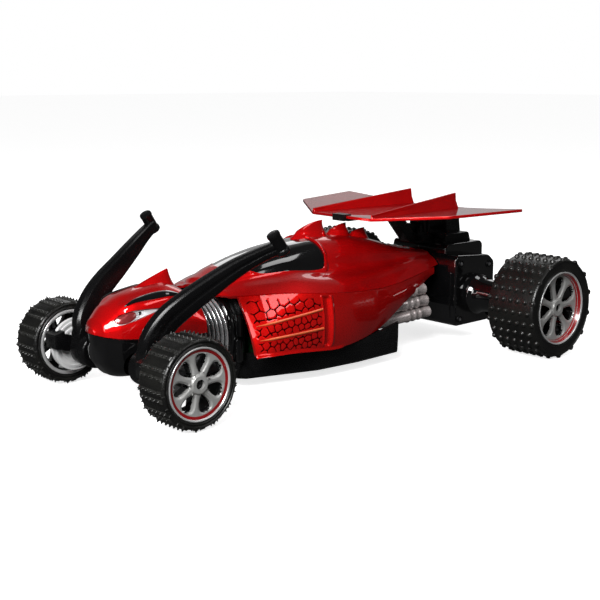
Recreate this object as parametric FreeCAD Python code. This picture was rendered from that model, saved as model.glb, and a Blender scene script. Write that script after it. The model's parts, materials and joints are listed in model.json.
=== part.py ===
"""Toy radio-controlled stunt car with a steering head, flip arms and a rolling rear pod.

Frame: +X forward, +Y to the car's left, +Z up, origin on the ground under the
middle of the bounding box. Millimetres throughout.
"""
import FreeCAD, Part
import math
import os

os.makedirs("parts", exist_ok=True)
V = FreeCAD.Vector

# wheels
WHEELBASE = 324.8
FRONT_R = 31.5
REAR_R = 41.0
FRONT_X = WHEELBASE / 2 + (REAR_R - FRONT_R) / 2
REAR_X = FRONT_X - WHEELBASE
FRONT_Y_IN = 64.0
FRONT_WIDTH = 27.0
REAR_Y_IN = 89.4
REAR_WIDTH = 43.8
FRONT_RIM_R = 24.2
REAR_RIM_R = 29.2
SPOKES = 7
KNOB = 1.8
BEAD = 2.6
FRONT_DISH = 3.4
REAR_DISH = 6.2
HUB_RECESS = 5.0
REAR_HUB_RECESS = 9.0
FRONT_SEAT_Y = FRONT_Y_IN + FRONT_WIDTH - HUB_RECESS
REAR_SEAT_Y = REAR_Y_IN + REAR_WIDTH - REAR_HUB_RECESS
HUB_SCREW_R = 3.0

# tyre studs: rows round the tyre, foot and tip radius, depth sunk in the carcass,
# and the places across the tread of the even and the odd rows
STUD_ROOT = 0.6
FRONT_STUD_ROWS = 26
FRONT_STUD = (1.5, 0.75)
FRONT_STUD_PLACES = ((4.2, 10.2, 16.8, 22.8), (7.2, 13.5, 19.8))
REAR_STUD_ROWS = 28
REAR_STUD = (2.2, 1.6)
REAR_STUD_PITCH = 6.8
REAR_STUD_PLACES = (
    tuple(4.9 + REAR_STUD_PITCH * i for i in range(6)),
    tuple(8.3 + REAR_STUD_PITCH * i for i in range(5)),
)

# pivots
NECK_X = 105.0
NECK_Z = 42.0
ROLL_Z = 42.0
AXLE_R = 2.0
REAR_AXLE_R = 2.5
RUN = 0.08

# gears
MODULE = 0.6
BACKLASH = 0.12
PRESSURE = math.radians(20.0)
STEER_GEAR_N = 22
STEER_PINION_N = 16
ARM_GEAR_N = 24
ARM_IDLER_N = 26
ARM_PINION_N = 12
AXLE_GEAR_N = 40
IDLER_BIG_N = 30
IDLER_SMALL_N = 12
MOTOR_PINION_N = 10
PIN_R = 1.5
STEER_PINION_X = NECK_X - MODULE * (STEER_GEAR_N + STEER_PINION_N) / 2


def rise(teeth, other_teeth, run):
    """Height between two meshing gears whose centres are run apart along X."""
    return math.sqrt((MODULE * (teeth + other_teeth) / 2) ** 2 - run ** 2)


# flip-arm drive in the head: shaft, idler and motor
ARM_IDLER_RUN = 11.2
ARM_PINION_RUN = 8.0
ARM_IDLER_X = FRONT_X - ARM_IDLER_RUN
ARM_IDLER_Z = FRONT_R + rise(ARM_GEAR_N, ARM_IDLER_N, ARM_IDLER_RUN)
ARM_PINION_X = ARM_IDLER_X - ARM_PINION_RUN
ARM_PINION_Z = ARM_IDLER_Z + rise(ARM_IDLER_N, ARM_PINION_N, ARM_PINION_RUN)
ARM_SHAFT_R = 4.6
ARM_MOTOR_R = 8.5

# rear drive in the gearbox: idler and motor
IDLER_RUN = 6.5
MOTOR_RUN = 11.5
IDLER_X = REAR_X + IDLER_RUN
IDLER_Z = REAR_R + rise(AXLE_GEAR_N, IDLER_SMALL_N, IDLER_RUN)
MOTOR_X = IDLER_X - MOTOR_RUN
MOTOR_Z = IDLER_Z + rise(IDLER_BIG_N, MOTOR_PINION_N, MOTOR_RUN)
MOTOR_R = 8.6

# body
FLOOR_Z = 8.0
TUB_WALL = 2.4
SKIN = 1.8
WING_Z = 112.6
WING_T = 2.4
WING_TIP_Y = 99.0
WING_FOLD_Y = 33.0
WING_TIP_Z = 117.5
SPINE_Z = 107.4
TUB_TOP_Z = 22.6
POD_WALL = 2.6
PIPE_R = 4.6
PIPE_COUNT = 3
ROLL_PIN_R = 6.0

# floor: screw spots, power switch and battery door (rear x, front x, half width)
SCREW_SPOTS = ((66.0, 30.0), (-46.0, 42.0))
SWITCH_X = 42.0
SWITCH_Y = 24.0
DOOR = (-44.0, 22.0, 27.0)

# opening behind the canopy: rear x, front x, half width
ENGINE_BAY = (-119.0, -79.0, 12.0)

# left half of the canopy seen from above, front to rear
CANOPY_PLAN = (
    (80.0, 0.0), (76.0, 14.0), (66.0, 25.0), (39.0, 31.5), (10.0, 33.5),
    (0.0, 27.0), (0.0, 16.0), (6.0, 8.0), (13.0, 0.0),
)

# heights of the two pod ridges at their front and rear ends
RIDGE_X = (34.0, 88.0)
RIDGE_LINES = ((40.5, 42.6), (50.1, 56.5))

# One row per rib of the upper shell:
# station x, half width at the shoulder, shoulder z, cabin half width, cabin foot z, roof z
BODY_RIBS = (
    (103.0, 22.0, 70.5, 14.0, 72.2, 74.5),
    (97.0, 33.0, 70.0, 20.0, 73.8, 78.5),
    (81.0, 43.0, 70.5, 24.0, 77.5, 85.0),
    (61.0, 51.0, 70.3, 28.0, 79.5, 91.0),
    (39.0, 57.0, 68.3, 31.0, 81.0, 95.5),
    (12.0, 59.0, 65.5, 33.0, 79.0, 98.6),
    (-10.0, 55.5, 63.3, 33.0, 78.0, 99.5),
    (-40.0, 49.5, 61.2, 30.0, 76.5, 97.5),
    (-65.0, 43.5, 61.0, 26.0, 75.0, 93.0),
    (-90.0, 37.0, 62.3, 22.0, 74.0, 86.5),
    (-115.0, 30.5, 64.3, 19.0, 74.0, 81.0),
    (-132.0, 26.0, 66.0, 17.0, 73.5, 77.5),
)

# One row per rib of a side pod: x, top y, top z, bottom y, bottom z
POD_RIBS = (
    (93.0, 37.0, 69.6, 57.0, 29.4),
    (80.0, 44.5, 70.1, 59.5, 29.2),
    (60.0, 52.0, 69.8, 60.5, 28.3),
    (38.0, 57.8, 67.8, 60.5, 26.2),
    (18.0, 59.2, 65.7, 60.0, 24.6),
    (-10.0, 56.0, 63.0, 57.0, 26.6),
    (-38.0, 50.4, 61.0, 51.5, 31.6),
    (-70.0, 42.8, 60.9, 43.5, 42.8),
    (-98.0, 35.4, 62.6, 36.0, 51.5),
    (-124.0, 28.6, 64.9, 29.0, 59.5),
)

# One row per rib of the head: x, half width, seam z, crown z
HEAD_RIBS = (
    (189.5, 4.0, 52.0, 56.0),
    (186.0, 12.5, 51.2, 62.0),
    (178.0, 19.0, 50.0, 69.5),
    (165.0, 24.0, 49.0, 76.0),
    (150.0, 27.0, 48.5, 79.5),
    (135.0, 29.5, 48.0, 80.8),
    (124.0, 32.0, 47.5, 77.5),
    (118.0, 34.0, 48.0, 72.0),
)

# One row per rib of the jaw: x, half width, seam z, chin z
JAW_RIBS = (
    (189.0, 4.0, 51.75, 45.0),
    (185.5, 12.5, 50.85, 31.0),
    (178.0, 19.0, 49.85, 22.5),
    (165.0, 24.0, 48.85, 20.5),
    (150.0, 26.0, 48.35, 21.5),
    (135.0, 27.0, 47.85, 26.0),
    (122.0, 27.5, 47.5, 33.0),
)

# One row per rib of a flip arm: centre x, centre z, centre y, width, depth, path angle
ARM_RIBS = (
    (168.5, 42.0, 40.0, 19.0, 11.0, 88.0),
    (168.0, 52.0, 41.5, 19.0, 11.0, 105.0),
    (160.0, 64.0, 45.0, 18.5, 10.5, 130.0),
    (148.0, 74.0, 49.5, 17.5, 10.0, 144.0),
    (131.0, 85.0, 54.5, 15.5, 9.5, 148.0),
    (114.0, 95.5, 60.5, 13.5, 9.0, 148.0),
    (99.0, 103.5, 67.5, 11.0, 8.5, 153.0),
    (86.0, 109.0, 74.0, 10.0, 8.0, 158.0),
)


def box(x0, x1, y0, y1, z0, z1):
    return Part.makeBox(x1 - x0, y1 - y0, z1 - z0, V(x0, y0, z0))


def rod_x(x0, x1, y, z, r):
    return Part.makeCylinder(r, x1 - x0, V(x0, y, z), V(1, 0, 0))


def rod_y(y0, y1, x, z, r):
    return Part.makeCylinder(r, y1 - y0, V(x, y0, z), V(0, 1, 0))


def rod_z(z0, z1, x, y, r):
    return Part.makeCylinder(r, z1 - z0, V(x, y, z0), V(0, 0, 1))


def rod(start, end, r):
    a = V(*start)
    b = V(*end)
    return Part.makeCylinder(r, (b - a).Length, a, b - a)


def tube_x(x0, x1, y, z, ro, ri):
    return rod_x(x0, x1, y, z, ro).cut(rod_x(x0 - 1, x1 + 1, y, z, ri))


def tube_y(y0, y1, x, z, ro, ri):
    return rod_y(y0, y1, x, z, ro).cut(rod_y(y0 - 1, y1 + 1, x, z, ri))


def polygon(points):
    corners = [V(*p) for p in points]
    return Part.makePolygon(corners + corners[:1])


def prism_x(points, x0, x1):
    wire = polygon([(x0, y, z) for y, z in points])
    return Part.Face(wire).extrude(V(x1 - x0, 0, 0))


def prism_y(points, y0, y1):
    wire = polygon([(x, y0, z) for x, z in points])
    return Part.Face(wire).extrude(V(0, y1 - y0, 0))


def prism_z(points, z0, z1):
    wire = polygon([(x, y, z0) for x, y in points])
    return Part.Face(wire).extrude(V(0, 0, z1 - z0))


def spun_y(profile, x, z):
    """Turns a closed (y, radius) outline about the line along Y through x, z."""
    wire = polygon([(x + r, y, z) for y, r in profile])
    return Part.Face(wire).revolve(V(x, 0, z), V(0, 1, 0), 360)


def spun_x(profile, y, z):
    """Turns a closed (x, radius) outline about the line along X through y, z."""
    wire = polygon([(x, y, z + r) for x, r in profile])
    return Part.Face(wire).revolve(V(0, y, z), V(1, 0, 0), 360)


def joined(shapes):
    first = shapes[0]
    rest = shapes[1:]
    return first.fuse(rest).removeSplitter() if rest else first


def less(shape, cuts):
    return shape.cut(cuts)


def mirrored(shape):
    return shape.mirror(V(0, 0, 0), V(0, 1, 0))


def pair(shape):
    return [shape, mirrored(shape)]


def both_halves(half):
    """Closes a half outline of (y, z) or (x, y) points by its mirror image."""
    return list(half) + [(-y, z) for y, z in reversed(half)]


def save(name, shapes):
    solids = []
    for shape in shapes:
        solids.extend(shape.Solids)
    whole = solids[0] if len(solids) == 1 else Part.makeCompound(solids)
    if not whole.isValid():
        print("not valid:", name)
    whole.exportStep("parts/" + name + ".step")


def save_sides(name, shape):
    save("left_" + name, [shape])
    save("right_" + name, [mirrored(shape)])


# ---------------------------------------------------------------- gears

def involute(angle):
    return math.tan(angle) - angle


def gear_outline(teeth):
    """Tooth outline of a spur gear as (radius, angle) pairs, thinned for backlash."""
    pitch = MODULE * teeth / 2
    base = pitch * math.cos(PRESSURE)
    tip = pitch + MODULE * 0.95
    root = pitch - MODULE * 1.25
    half = (math.pi * MODULE / 2 - BACKLASH) / (2 * pitch) + involute(PRESSURE)
    start = max(base, root)
    flank = []
    steps = 3
    for i in range(steps + 1):
        r = start + (tip - start) * i / steps
        flank.append((r, half - involute(math.acos(min(1.0, base / r)))))
    outline = []
    for k in range(teeth):
        mid = 2 * math.pi * k / teeth
        outline.append((root, mid - flank[0][1] - 0.02))
        outline.extend((r, mid - a) for r, a in flank)
        outline.extend((r, mid + a) for r, a in reversed(flank))
        outline.append((root, mid + flank[0][1] + 0.02))
    return outline


def gear_y(teeth, x, z, y0, y1, turn):
    points = [(x + r * math.cos(a + turn), z + r * math.sin(a + turn)) for r, a in gear_outline(teeth)]
    return prism_y(points, y0, y1)


def gear_z(teeth, x, y, z0, z1, turn):
    points = [(x + r * math.cos(a + turn), y + r * math.sin(a + turn)) for r, a in gear_outline(teeth)]
    return prism_z(points, z0, z1)


def meshing_turn(teeth, other_teeth, other_turn, bearing):
    """Turn that puts a gap of this gear on a tooth line of the other one."""
    phase = (bearing - other_turn) * other_teeth
    return bearing + math.pi + (phase + math.pi) / teeth


# ---------------------------------------------------------------- lofted skins

def rib_wire(points):
    """Closed rib: a smooth arch through the points, then a straight foot."""
    arch = Part.BSplineCurve()
    arch.interpolate([V(*p) for p in points])
    edge = arch.toShape()
    foot = Part.makeLine(V(*points[-1]), V(*points[0]))
    return Part.Wire([edge, foot])


def body_rib(row, inset):
    x, w, sh, cw, cz, top = row
    half = [
        (w - inset, sh - (inset * 4 if inset > 0 else 0)),
        ((w + cw) / 2 + 1 - inset, sh + (cz - sh) * 0.55 - inset * 0.8),
        (cw - inset * 0.7, cz - inset * 0.7),
        (cw * 0.83 - inset * 0.8, cz + (top - cz) * 0.5 - inset * 0.6),
        (cw * 0.45, cz + (top - cz) * 0.9 - inset),
    ]
    points = [(x, y, z) for y, z in half]
    points.append((x, 0, top - inset))
    points.extend((x, -y, z) for y, z in reversed(half))
    return rib_wire(points)


def head_rib(row, inset):
    x, w, seam, top = row
    rise = top - seam
    half = [
        (w - inset, seam - (inset * 3 if inset > 0 else 0)),
        (w * 0.96 - inset, seam + rise * 0.36),
        (w * 0.76 - inset * 0.8, seam + rise * 0.72 - inset * 0.5),
        (w * 0.40, seam + rise * 0.94 - inset),
    ]
    points = [(x, y, z) for y, z in half]
    points.append((x, 0, top - inset))
    points.extend((x, -y, z) for y, z in reversed(half))
    return rib_wire(points)


def jaw_rib(row, inset):
    x, w, seam, chin = row
    drop = seam - chin
    half = [
        (w - inset, seam + (inset * 3 if inset > 0 else 0)),
        (w * 0.97 - inset, seam - drop * 0.45),
        (w * 0.80 - inset * 0.8, seam - drop * 0.82 + inset * 0.6),
        (w * 0.40, chin + drop * 0.02 + inset),
    ]
    points = [(x, y, z) for y, z in half]
    points.append((x, 0, chin + inset))
    points.extend((x, -y, z) for y, z in reversed(half))
    return rib_wire(points)


def skin_solid(rows, rib, inset):
    return Part.makeLoft([rib(row, inset) for row in rows], True, False)


def moved_rows(rows, first, last):
    """Lets the end ribs run past the ends, so an inner solid opens both of them."""
    rows = list(rows)
    rows[0] = (rows[0][0] + first,) + tuple(rows[0][1:])
    rows[-1] = (rows[-1][0] - last,) + tuple(rows[-1][1:])
    return rows


# ---------------------------------------------------------------- wheels

def rim(width, lip, dish, boss):
    """Rim in wheel axes: u along Y from the inner face, turning about the Y axis."""
    well = lip - BEAD
    seat = width - dish
    barrel = [
        (1.0, lip - 0.2), (1.0, lip - 2.2), (3.2, well - 1.5), (seat - 3.0, well - 1.5),
        (seat - 3.0, 3.0), (seat, 3.0), (seat, well - 0.4),
        (width - 2.6, lip - 2.4), (width - 0.6, lip - 1.9), (width - 0.2, lip - 1.0),
        (width - 0.6, lip), (width - 2.4, lip), (width - 3.8, well), (4.2, well), (2.6, lip - 0.2),
    ]
    shape = spun_y(barrel, 0, 0)
    inner, face = boss
    hub_line = [(inner, 0.0), (face, 0.0), (face, 5.0), (face - 0.8, 5.8), (inner, 5.8)]
    shape = joined([shape, spun_y(hub_line, 0, 0)])
    return less(shape, spoke_gaps(well - 2.4, seat - 8, width))


def spoke_gaps(outer, y0, y1):
    """Drop-shaped openings between the spokes, reaching out to the outer radius."""
    wide = outer * 0.245
    narrow = wide * 0.34
    far = outer - wide
    near = 8.0 + narrow
    flat = 0.98
    gaps = []
    for k in range(SPOKES):
        a = 2 * math.pi * (k + 0.5) / SPOKES
        c = math.cos(a)
        s = math.sin(a)
        gaps.append(rod_y(y0, y1, far * c, far * s, wide))
        gaps.append(rod_y(y0, y1, near * c, near * s, narrow))
        web = []
        for along, across in ((far, wide), (near, narrow), (near, -narrow), (far, -wide)):
            web.append((along * c - across * flat * s, along * s + across * flat * c))
        gaps.append(prism_y(web, y0, y1))
    return gaps


def rim_ring(width, lip, dish):
    """Coloured trim ring seated on the spoke face just inside the rim lip."""
    well = lip - BEAD
    seat = width - dish
    outline = [(seat, well - 2.0), (seat, well - 0.4), (seat + 1.2, well - 0.3), (seat + 1.2, well - 1.7)]
    return spun_y(outline, 0, 0)


def tyre_carcass(width, lip, crown):
    well = lip - BEAD
    outline = [
        (2.6, lip - 0.2), (4.2, well), (width - 3.8, well), (width - 2.4, lip),
        (width - 0.4, lip + 0.2), (width, lip + 2.0), (width - 0.8, crown - 1.6), (width - 2.6, crown),
        (2.6, crown), (0.8, crown - 1.6), (0.0, lip + 2.0), (0.4, lip + 0.2),
    ]
    return spun_y(outline, 0, 0)


def studded_tyre(width, lip, radius, rows, stud, places):
    """Carcass with tapered studs in staggered rows."""
    crown = radius - KNOB
    studs = []
    for k in range(rows):
        a = 2 * math.pi * k / rows
        axis = V(math.cos(a), 0, math.sin(a))
        for u in places[k % 2]:
            foot = axis * (crown - STUD_ROOT) + V(0, u, 0)
            studs.append(Part.makeCone(stud[0], stud[1], KNOB + STUD_ROOT, foot, axis))
    return tyre_carcass(width, lip, crown).fuse(studs)


def front_tyre():
    return studded_tyre(FRONT_WIDTH, FRONT_RIM_R, FRONT_R, FRONT_STUD_ROWS, FRONT_STUD, FRONT_STUD_PLACES)


def rear_tyre():
    return studded_tyre(REAR_WIDTH, REAR_RIM_R, REAR_R, REAR_STUD_ROWS, REAR_STUD, REAR_STUD_PLACES)


def at_wheel(shape, x, y, z):
    moved = shape.copy()
    moved.translate(V(x, y, z))
    return moved


def hub_screw(y_seat, x, z):
    """Cross-slotted screw head on the end of an axle."""
    long = 2.0
    thin = 0.4
    head = rod_y(y_seat, y_seat + 1.8, x, z, HUB_SCREW_R)
    slot_a = box(x - long, x + long, y_seat + 1.0, y_seat + 3.0, z - thin, z + thin)
    slot_b = box(x - thin, x + thin, y_seat + 1.0, y_seat + 3.0, z - long, z + long)
    return less(head, [slot_a, slot_b])


def front_wheels():
    raw = rim(FRONT_WIDTH, FRONT_RIM_R, FRONT_DISH, (9.0, FRONT_WIDTH - 0.6))
    bore = rod_y(-5, FRONT_WIDTH + 5, 0, 0, AXLE_R + RUN)
    recess = rod_y(FRONT_WIDTH - HUB_RECESS, FRONT_WIDTH + 5, 0, 0, HUB_SCREW_R + 0.3)
    one = less(raw, [bore, recess])
    save_sides("front_rim", at_wheel(one, FRONT_X, FRONT_Y_IN, FRONT_R))
    ring = rim_ring(FRONT_WIDTH, FRONT_RIM_R, FRONT_DISH)
    save_sides("front_rim_ring", at_wheel(ring, FRONT_X, FRONT_Y_IN, FRONT_R))
    save_sides("front_tyre", at_wheel(front_tyre(), FRONT_X, FRONT_Y_IN, FRONT_R))


def rear_wheels():
    raw = rim(REAR_WIDTH, REAR_RIM_R, REAR_DISH, (16.0, REAR_WIDTH - 3.6))
    bore = rod_y(-5, REAR_WIDTH + 5, 0, 0, REAR_AXLE_R)
    recess = rod_y(REAR_WIDTH - REAR_HUB_RECESS, REAR_WIDTH + 5, 0, 0, HUB_SCREW_R + 0.3)
    one = less(raw, [bore, recess])
    save_sides("rear_rim", at_wheel(one, REAR_X, REAR_Y_IN, REAR_R))
    ring = at_wheel(rim_ring(REAR_WIDTH, REAR_RIM_R, REAR_DISH), REAR_X, REAR_Y_IN, REAR_R)
    save("rear_rim_rings", pair(ring))
    save_sides("rear_tyre", at_wheel(rear_tyre(), REAR_X, REAR_Y_IN, REAR_R))
    save("rear_hub_screws", pair(hub_screw(REAR_SEAT_Y, REAR_X, REAR_R)))


# ---------------------------------------------------------------- chassis

def tub_plan(grow, z):
    """Outline of the tub at a height, grown outwards by the given amount."""
    half = [(88.0, 30.0), (84.0, 35.0), (30.0, 52.0), (-9.0, 55.0), (-54.0, 53.5), (-58.0, 49.0)]
    points = [(x + grow * 0.5, y + grow, z) for x, y in half]
    points.extend((x, -y, z) for x, y, z in reversed(points))
    return polygon(points)


def tub_shell():
    """Floor pan with nearly upright sides."""
    outside = [tub_plan(-1.6, FLOOR_Z), tub_plan(0.0, FLOOR_Z + 2), tub_plan(1.0, TUB_TOP_Z)]
    inside = [tub_plan(-3.4, FLOOR_Z + TUB_WALL), tub_plan(-2.4, 13.5), tub_plan(-1.4, TUB_TOP_Z + 0.4)]
    return less(Part.makeLoft(outside, True, True), [Part.makeLoft(inside, True, True)])


def tub_skirt():
    """Side walls that rise behind the lower edges of the pods, highest at the tail."""
    outer = Part.Face(tub_plan(1.0, 22.0)).extrude(V(0, 0, 14.0))
    inner = Part.Face(tub_plan(-1.4, 21.0)).extrude(V(0, 0, 16.0))
    line = [
        (84.0, 20.0), (84.0, 27.4), (60.0, 26.8), (38.0, 24.8), (18.0, 23.4),
        (-10.0, 25.2), (-38.0, 30.0), (-54.0, 33.0), (-54.0, 20.0),
    ]
    tall = less(outer, [inner]).common(prism_y(line, -70.0, 70.0))
    beside = box(-60.0, 90.0, 33.5, 70.0, 15.0, 40.0)
    return [tall.common(half) for half in pair(beside)]


def tub_walls():
    """Neck bulkhead, rear wall and the rails beside the batteries."""
    bulkhead = prism_x(both_halves([(30, 9), (34, 22), (34, 62), (24, 68)]), 85.0, 88.6)
    bulkhead = less(bulkhead, [rod_x(80, 92, 0, NECK_Z, 28.4)])
    rear_wall = prism_x(both_halves([(49, 10), (50, 20), (28, 22), (28, 60)]), -58.0, -55.0)
    return [bulkhead, rear_wall] + pair(box(-56.0, 86.0, 30.5, 32.5, 9.0, 19.0))


def neck_clevis():
    """Two plates that hold the kingpin, with the web and stays behind them."""
    upper = box(82.0, 110.0, -7.0, 7.0, 50.0, 53.0)
    lower = box(82.0, 110.0, -7.0, 7.0, 28.0, 31.0)
    web = box(79.0, 84.0, -7.0, 7.0, 27.2, 53.0)
    return [upper, lower, web] + pair(box(79.0, 88.0, 5.0, 30.0, 50.0, 53.0))


def screw_places():
    return [(x, y * side) for x, y in SCREW_SPOTS for side in (1, -1)]


def tub_cuts():
    """Screw holes, battery and switch openings, kingpin and pinion bores, servo pocket."""
    cuts = []
    for x, y in screw_places():
        cuts.append(rod_z(FLOOR_Z - 1, 20.5, x, y, 1.5))
        cuts.append(rod_z(FLOOR_Z - 1, FLOOR_Z + 2.0, x, y, 3.2))
    x0, x1, half = DOOR
    cuts.append(box(x0, x1, -half, half, FLOOR_Z - 1, FLOOR_Z + 5))
    cuts.append(rod_z(20, 60, NECK_X, 0, 2.5 + RUN))
    cuts.append(rod_z(20, 40, STEER_PINION_X, 0, 1.6))
    cuts.append(box(SWITCH_X - 6, SWITCH_X + 6, SWITCH_Y - 2.6, SWITCH_Y + 2.6, FLOOR_Z - 1, FLOOR_Z + 5))
    cuts.append(box(70.0, 96.0, -10.1, 10.1, 17.0, 27.2))
    return cuts


def chassis_tub():
    """Floor pan with bulkhead, neck clevis, roll pin, screw posts and battery bay."""
    pin = rod_x(-126.0, -55.0, 0, ROLL_Z, ROLL_PIN_R)
    flange = rod_x(-62.0, -57.0, 0, ROLL_Z, 20.0)
    cradle = box(68.0, 84.0, -9.0, 9.0, 9.0, 17.0)
    posts = [rod_z(FLOOR_Z + 1, 22.0, x, y, 4.0) for x, y in screw_places()]
    parts = [tub_shell(), pin, flange, cradle] + posts
    parts += tub_walls() + neck_clevis() + tub_skirt()
    return less(joined(parts), tub_cuts())


def battery_door():
    x0, x1, half = DOOR
    gap = 0.15
    plate = box(x0 + gap, x1 - gap, -half + gap, half - gap, FLOOR_Z, FLOOR_Z + TUB_WALL)
    grip = [box(x0 + 6 + 4 * i, x0 + 8 + 4 * i, -9, 9, FLOOR_Z - 1, FLOOR_Z + 0.8) for i in range(3)]
    return less(plate, grip)


def battery_cells():
    cells = []
    for i in range(3):
        y = -16.0 + 16.0 * i
        z = FLOOR_Z + TUB_WALL + 7.4
        profile = [
            (-38.0, 0.0), (-38.0, 6.6), (-37.4, 7.2), (11.4, 7.2),
            (12.0, 6.6), (12.0, 2.8), (13.4, 2.8), (13.4, 0.0),
        ]
        cells.append(spun_x(profile, y, z))
    return cells


def circuit_board():
    board = box(14.0, 62.0, -27.0, 27.0, 30.0, 31.6)
    chips = [
        box(22, 34, -10, 2, 31.6, 33.6),
        box(40, 47, 6, 13, 31.6, 33.0),
        box(40, 52, -20, -12, 31.6, 36.0),
    ]
    cans = [rod_z(31.6, 39.0, 26.0, 14.0, 3.2), rod_z(31.6, 38.0, 54.0, 20.0, 2.6)]
    legs = [box(24.0, 27.0, -27.0, 18.0, 10.4, 30.0), box(57.0, 60.0, -26.0, 26.0, 10.4, 30.0)]
    return joined([board] + chips + cans + legs)


def power_switch():
    """Slider whose knob shows under the floor and whose plate slides on top of it."""
    floor_top = FLOOR_Z + TUB_WALL
    knob = box(SWITCH_X - 2, SWITCH_X + 2, SWITCH_Y - 2.2, SWITCH_Y + 2.2, FLOOR_Z - 0.9, floor_top + 1.0)
    plate = box(SWITCH_X - 9, SWITCH_X + 9, SWITCH_Y - 4, SWITCH_Y + 4, floor_top + 0.1, floor_top + 1.3)
    return joined([knob, plate])


def chassis_screws():
    screws = []
    for x, y in screw_places():
        shank = rod_z(FLOOR_Z + 1.8, 20.0, x, y, 1.4)
        head = rod_z(FLOOR_Z + 0.2, FLOOR_Z + 2.0, x, y, 3.0)
        slot = box(x - 2, x + 2, y - 0.4, y + 0.4, FLOOR_Z, FLOOR_Z + 1.0)
        screws.append(less(joined([shank, head]), [slot]))
    return screws


def steering_servo():
    case = box(70.0, 95.6, -10.0, 10.0, 17.0, 27.0)
    boss = rod_z(26.5, 27.6, STEER_PINION_X, 0, 1.5)
    return joined([case, boss])


def servo_pinion():
    turn = meshing_turn(STEER_PINION_N, STEER_GEAR_N, 0.0, math.pi)
    wheel = gear_z(STEER_PINION_N, STEER_PINION_X, 0, 33.0, 37.0, turn)
    shaft = rod_z(27.7, 34.0, STEER_PINION_X, 0, 1.5)
    return joined([wheel, shaft])


def neck_collar():
    profile = [(88.6, 28.6), (88.6, 33.0), (91.0, 33.5), (95.0, 32.5), (96.0, 31.0), (96.0, 28.6)]
    return spun_x(profile, 0, NECK_Z)


def neck_rings():
    """Hollow stepped cone of seven rounded rings around the neck pivot."""
    count = 7
    x0 = 96.0
    pitch = 2.7
    big = 30.5
    small = 21.0
    profile = [(x0, big - 2.6)]
    for i in range(count):
        r = big + (small - big) * i / (count - 1)
        x = x0 + pitch * i
        profile.extend([(x, r - 0.9), (x + 0.5, r), (x + pitch * 0.62, r), (x + pitch * 0.8, r - 0.9)])
        if i < count - 1:
            profile.append((x + pitch, r - 2.0))
    end = x0 + pitch * (count - 0.2)
    profile.append((end, small - 2.6))
    return spun_x(profile, 0, NECK_Z)


def rear_bellows():
    """Ribbed cone that shrouds the roll pivot, coaxial with it."""
    count = 8
    x0 = -62.0
    pitch = 4.6
    big = 27.0
    small = 19.0
    profile = [(x0, big - 5.0)]
    for i in range(count):
        r = big + (small - big) * i / (count - 1)
        x = x0 - pitch * i
        profile.extend([(x, r - 2.4), (x - pitch * 0.5, r)])
    end = x0 - pitch * count
    profile.extend([(end, small - 2.4), (end, small - 5.0)])
    return spun_x(profile, 0, ROLL_Z)


def canopy_region(grow):
    """Upright prism over the canopy, offset outwards by the given amount."""
    outline = list(CANOPY_PLAN) + [(x, -y) for x, y in reversed(CANOPY_PLAN[1:-1])]
    sharp_corners = 2
    wire = polygon([(x, y, 70.0) for x, y in outline]).makeOffset2D(grow, sharp_corners)
    return Part.Face(wire).extrude(V(0, 0, 50.0))


def body_parts():
    outer = skin_solid(BODY_RIBS, body_rib, 0.0)
    inner = skin_solid(moved_rows(BODY_RIBS, 3.0, 3.0), body_rib, SKIN)
    skin = less(outer, [inner])
    glass = skin.common(canopy_region(-0.1))
    x0, x1, half = ENGINE_BAY
    shell = less(skin, [canopy_region(0.1), box(x0, x1, -half, half, 60, 100)])
    spikes = [
        [(5.2, 96.0), (5.2, 100.0), (-4.2, 107.2), (-22.3, 110.7), (-25.0, 100.5), (-25.0, 96.0)],
        [(-24.0, 96.0), (-26.0, 100.5), (-38.0, 104.0), (-48.0, 106.2), (-51.0, 97.5), (-51.0, 94.0)],
        [(-51.0, 93.0), (-53.0, 97.0), (-68.0, 100.5), (-73.0, 94.5), (-73.0, 89.0)],
    ]
    ridges = []
    for outline in spikes:
        wide = prism_y(outline, -7.0, 7.0)
        x_low = min(p[0] for p in outline)
        x_high = max(p[0] for p in outline)
        crest = prism_x(both_halves([(7.5, 88.0), (6.5, 96.0), (0.8, 112.0)]), x_low, x_high)
        ridges.append(less(wide.common(crest), [inner]))
    return joined([shell] + ridges), glass


def engine_trim():
    x0, x1, half = ENGINE_BAY
    gap = 0.2
    bed_line = [(x0 + gap, 68), (x1 - gap, 68), (x1 - gap, 84.5), (x0 + gap, 76.5)]
    bed = prism_y(bed_line, -half + gap, half - gap)
    parts = [bed]
    for i in range(4):
        x = x1 - 6.0 - 8.6 * i
        z = 82.6 - 1.75 * i
        for y in (-6.0, 6.0):
            parts.append(rod_z(z - 6, z + 1.0, x, y, 3.6))
            parts.append(rod_z(z, z + 2.2, x, y, 2.4))
    rear_hanger = box(x0 + 1, x0 + 4, -20.0, 20.0, 67.0, 69.0)
    front_hanger = box(x1 - 4, x1 - 1, -22.0, 22.0, 67.0, 69.0)
    return joined(parts + [rear_hanger, front_hanger])


def pod_rib(row, inset):
    x, ty, tz, by, bz = row
    my = (ty + by) / 2 + (tz - bz) * 0.04
    mz = (tz + bz) / 2
    outer = [(ty, tz), (my, mz), (by, bz)]
    inner = [(by - inset, bz), (my - inset, mz), (ty - inset, tz)]
    return polygon([(x, y, z) for y, z in outer + inner])


def pod_loft(rows):
    return Part.makeLoft([pod_rib(row, POD_WALL) for row in rows], True, False)


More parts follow.
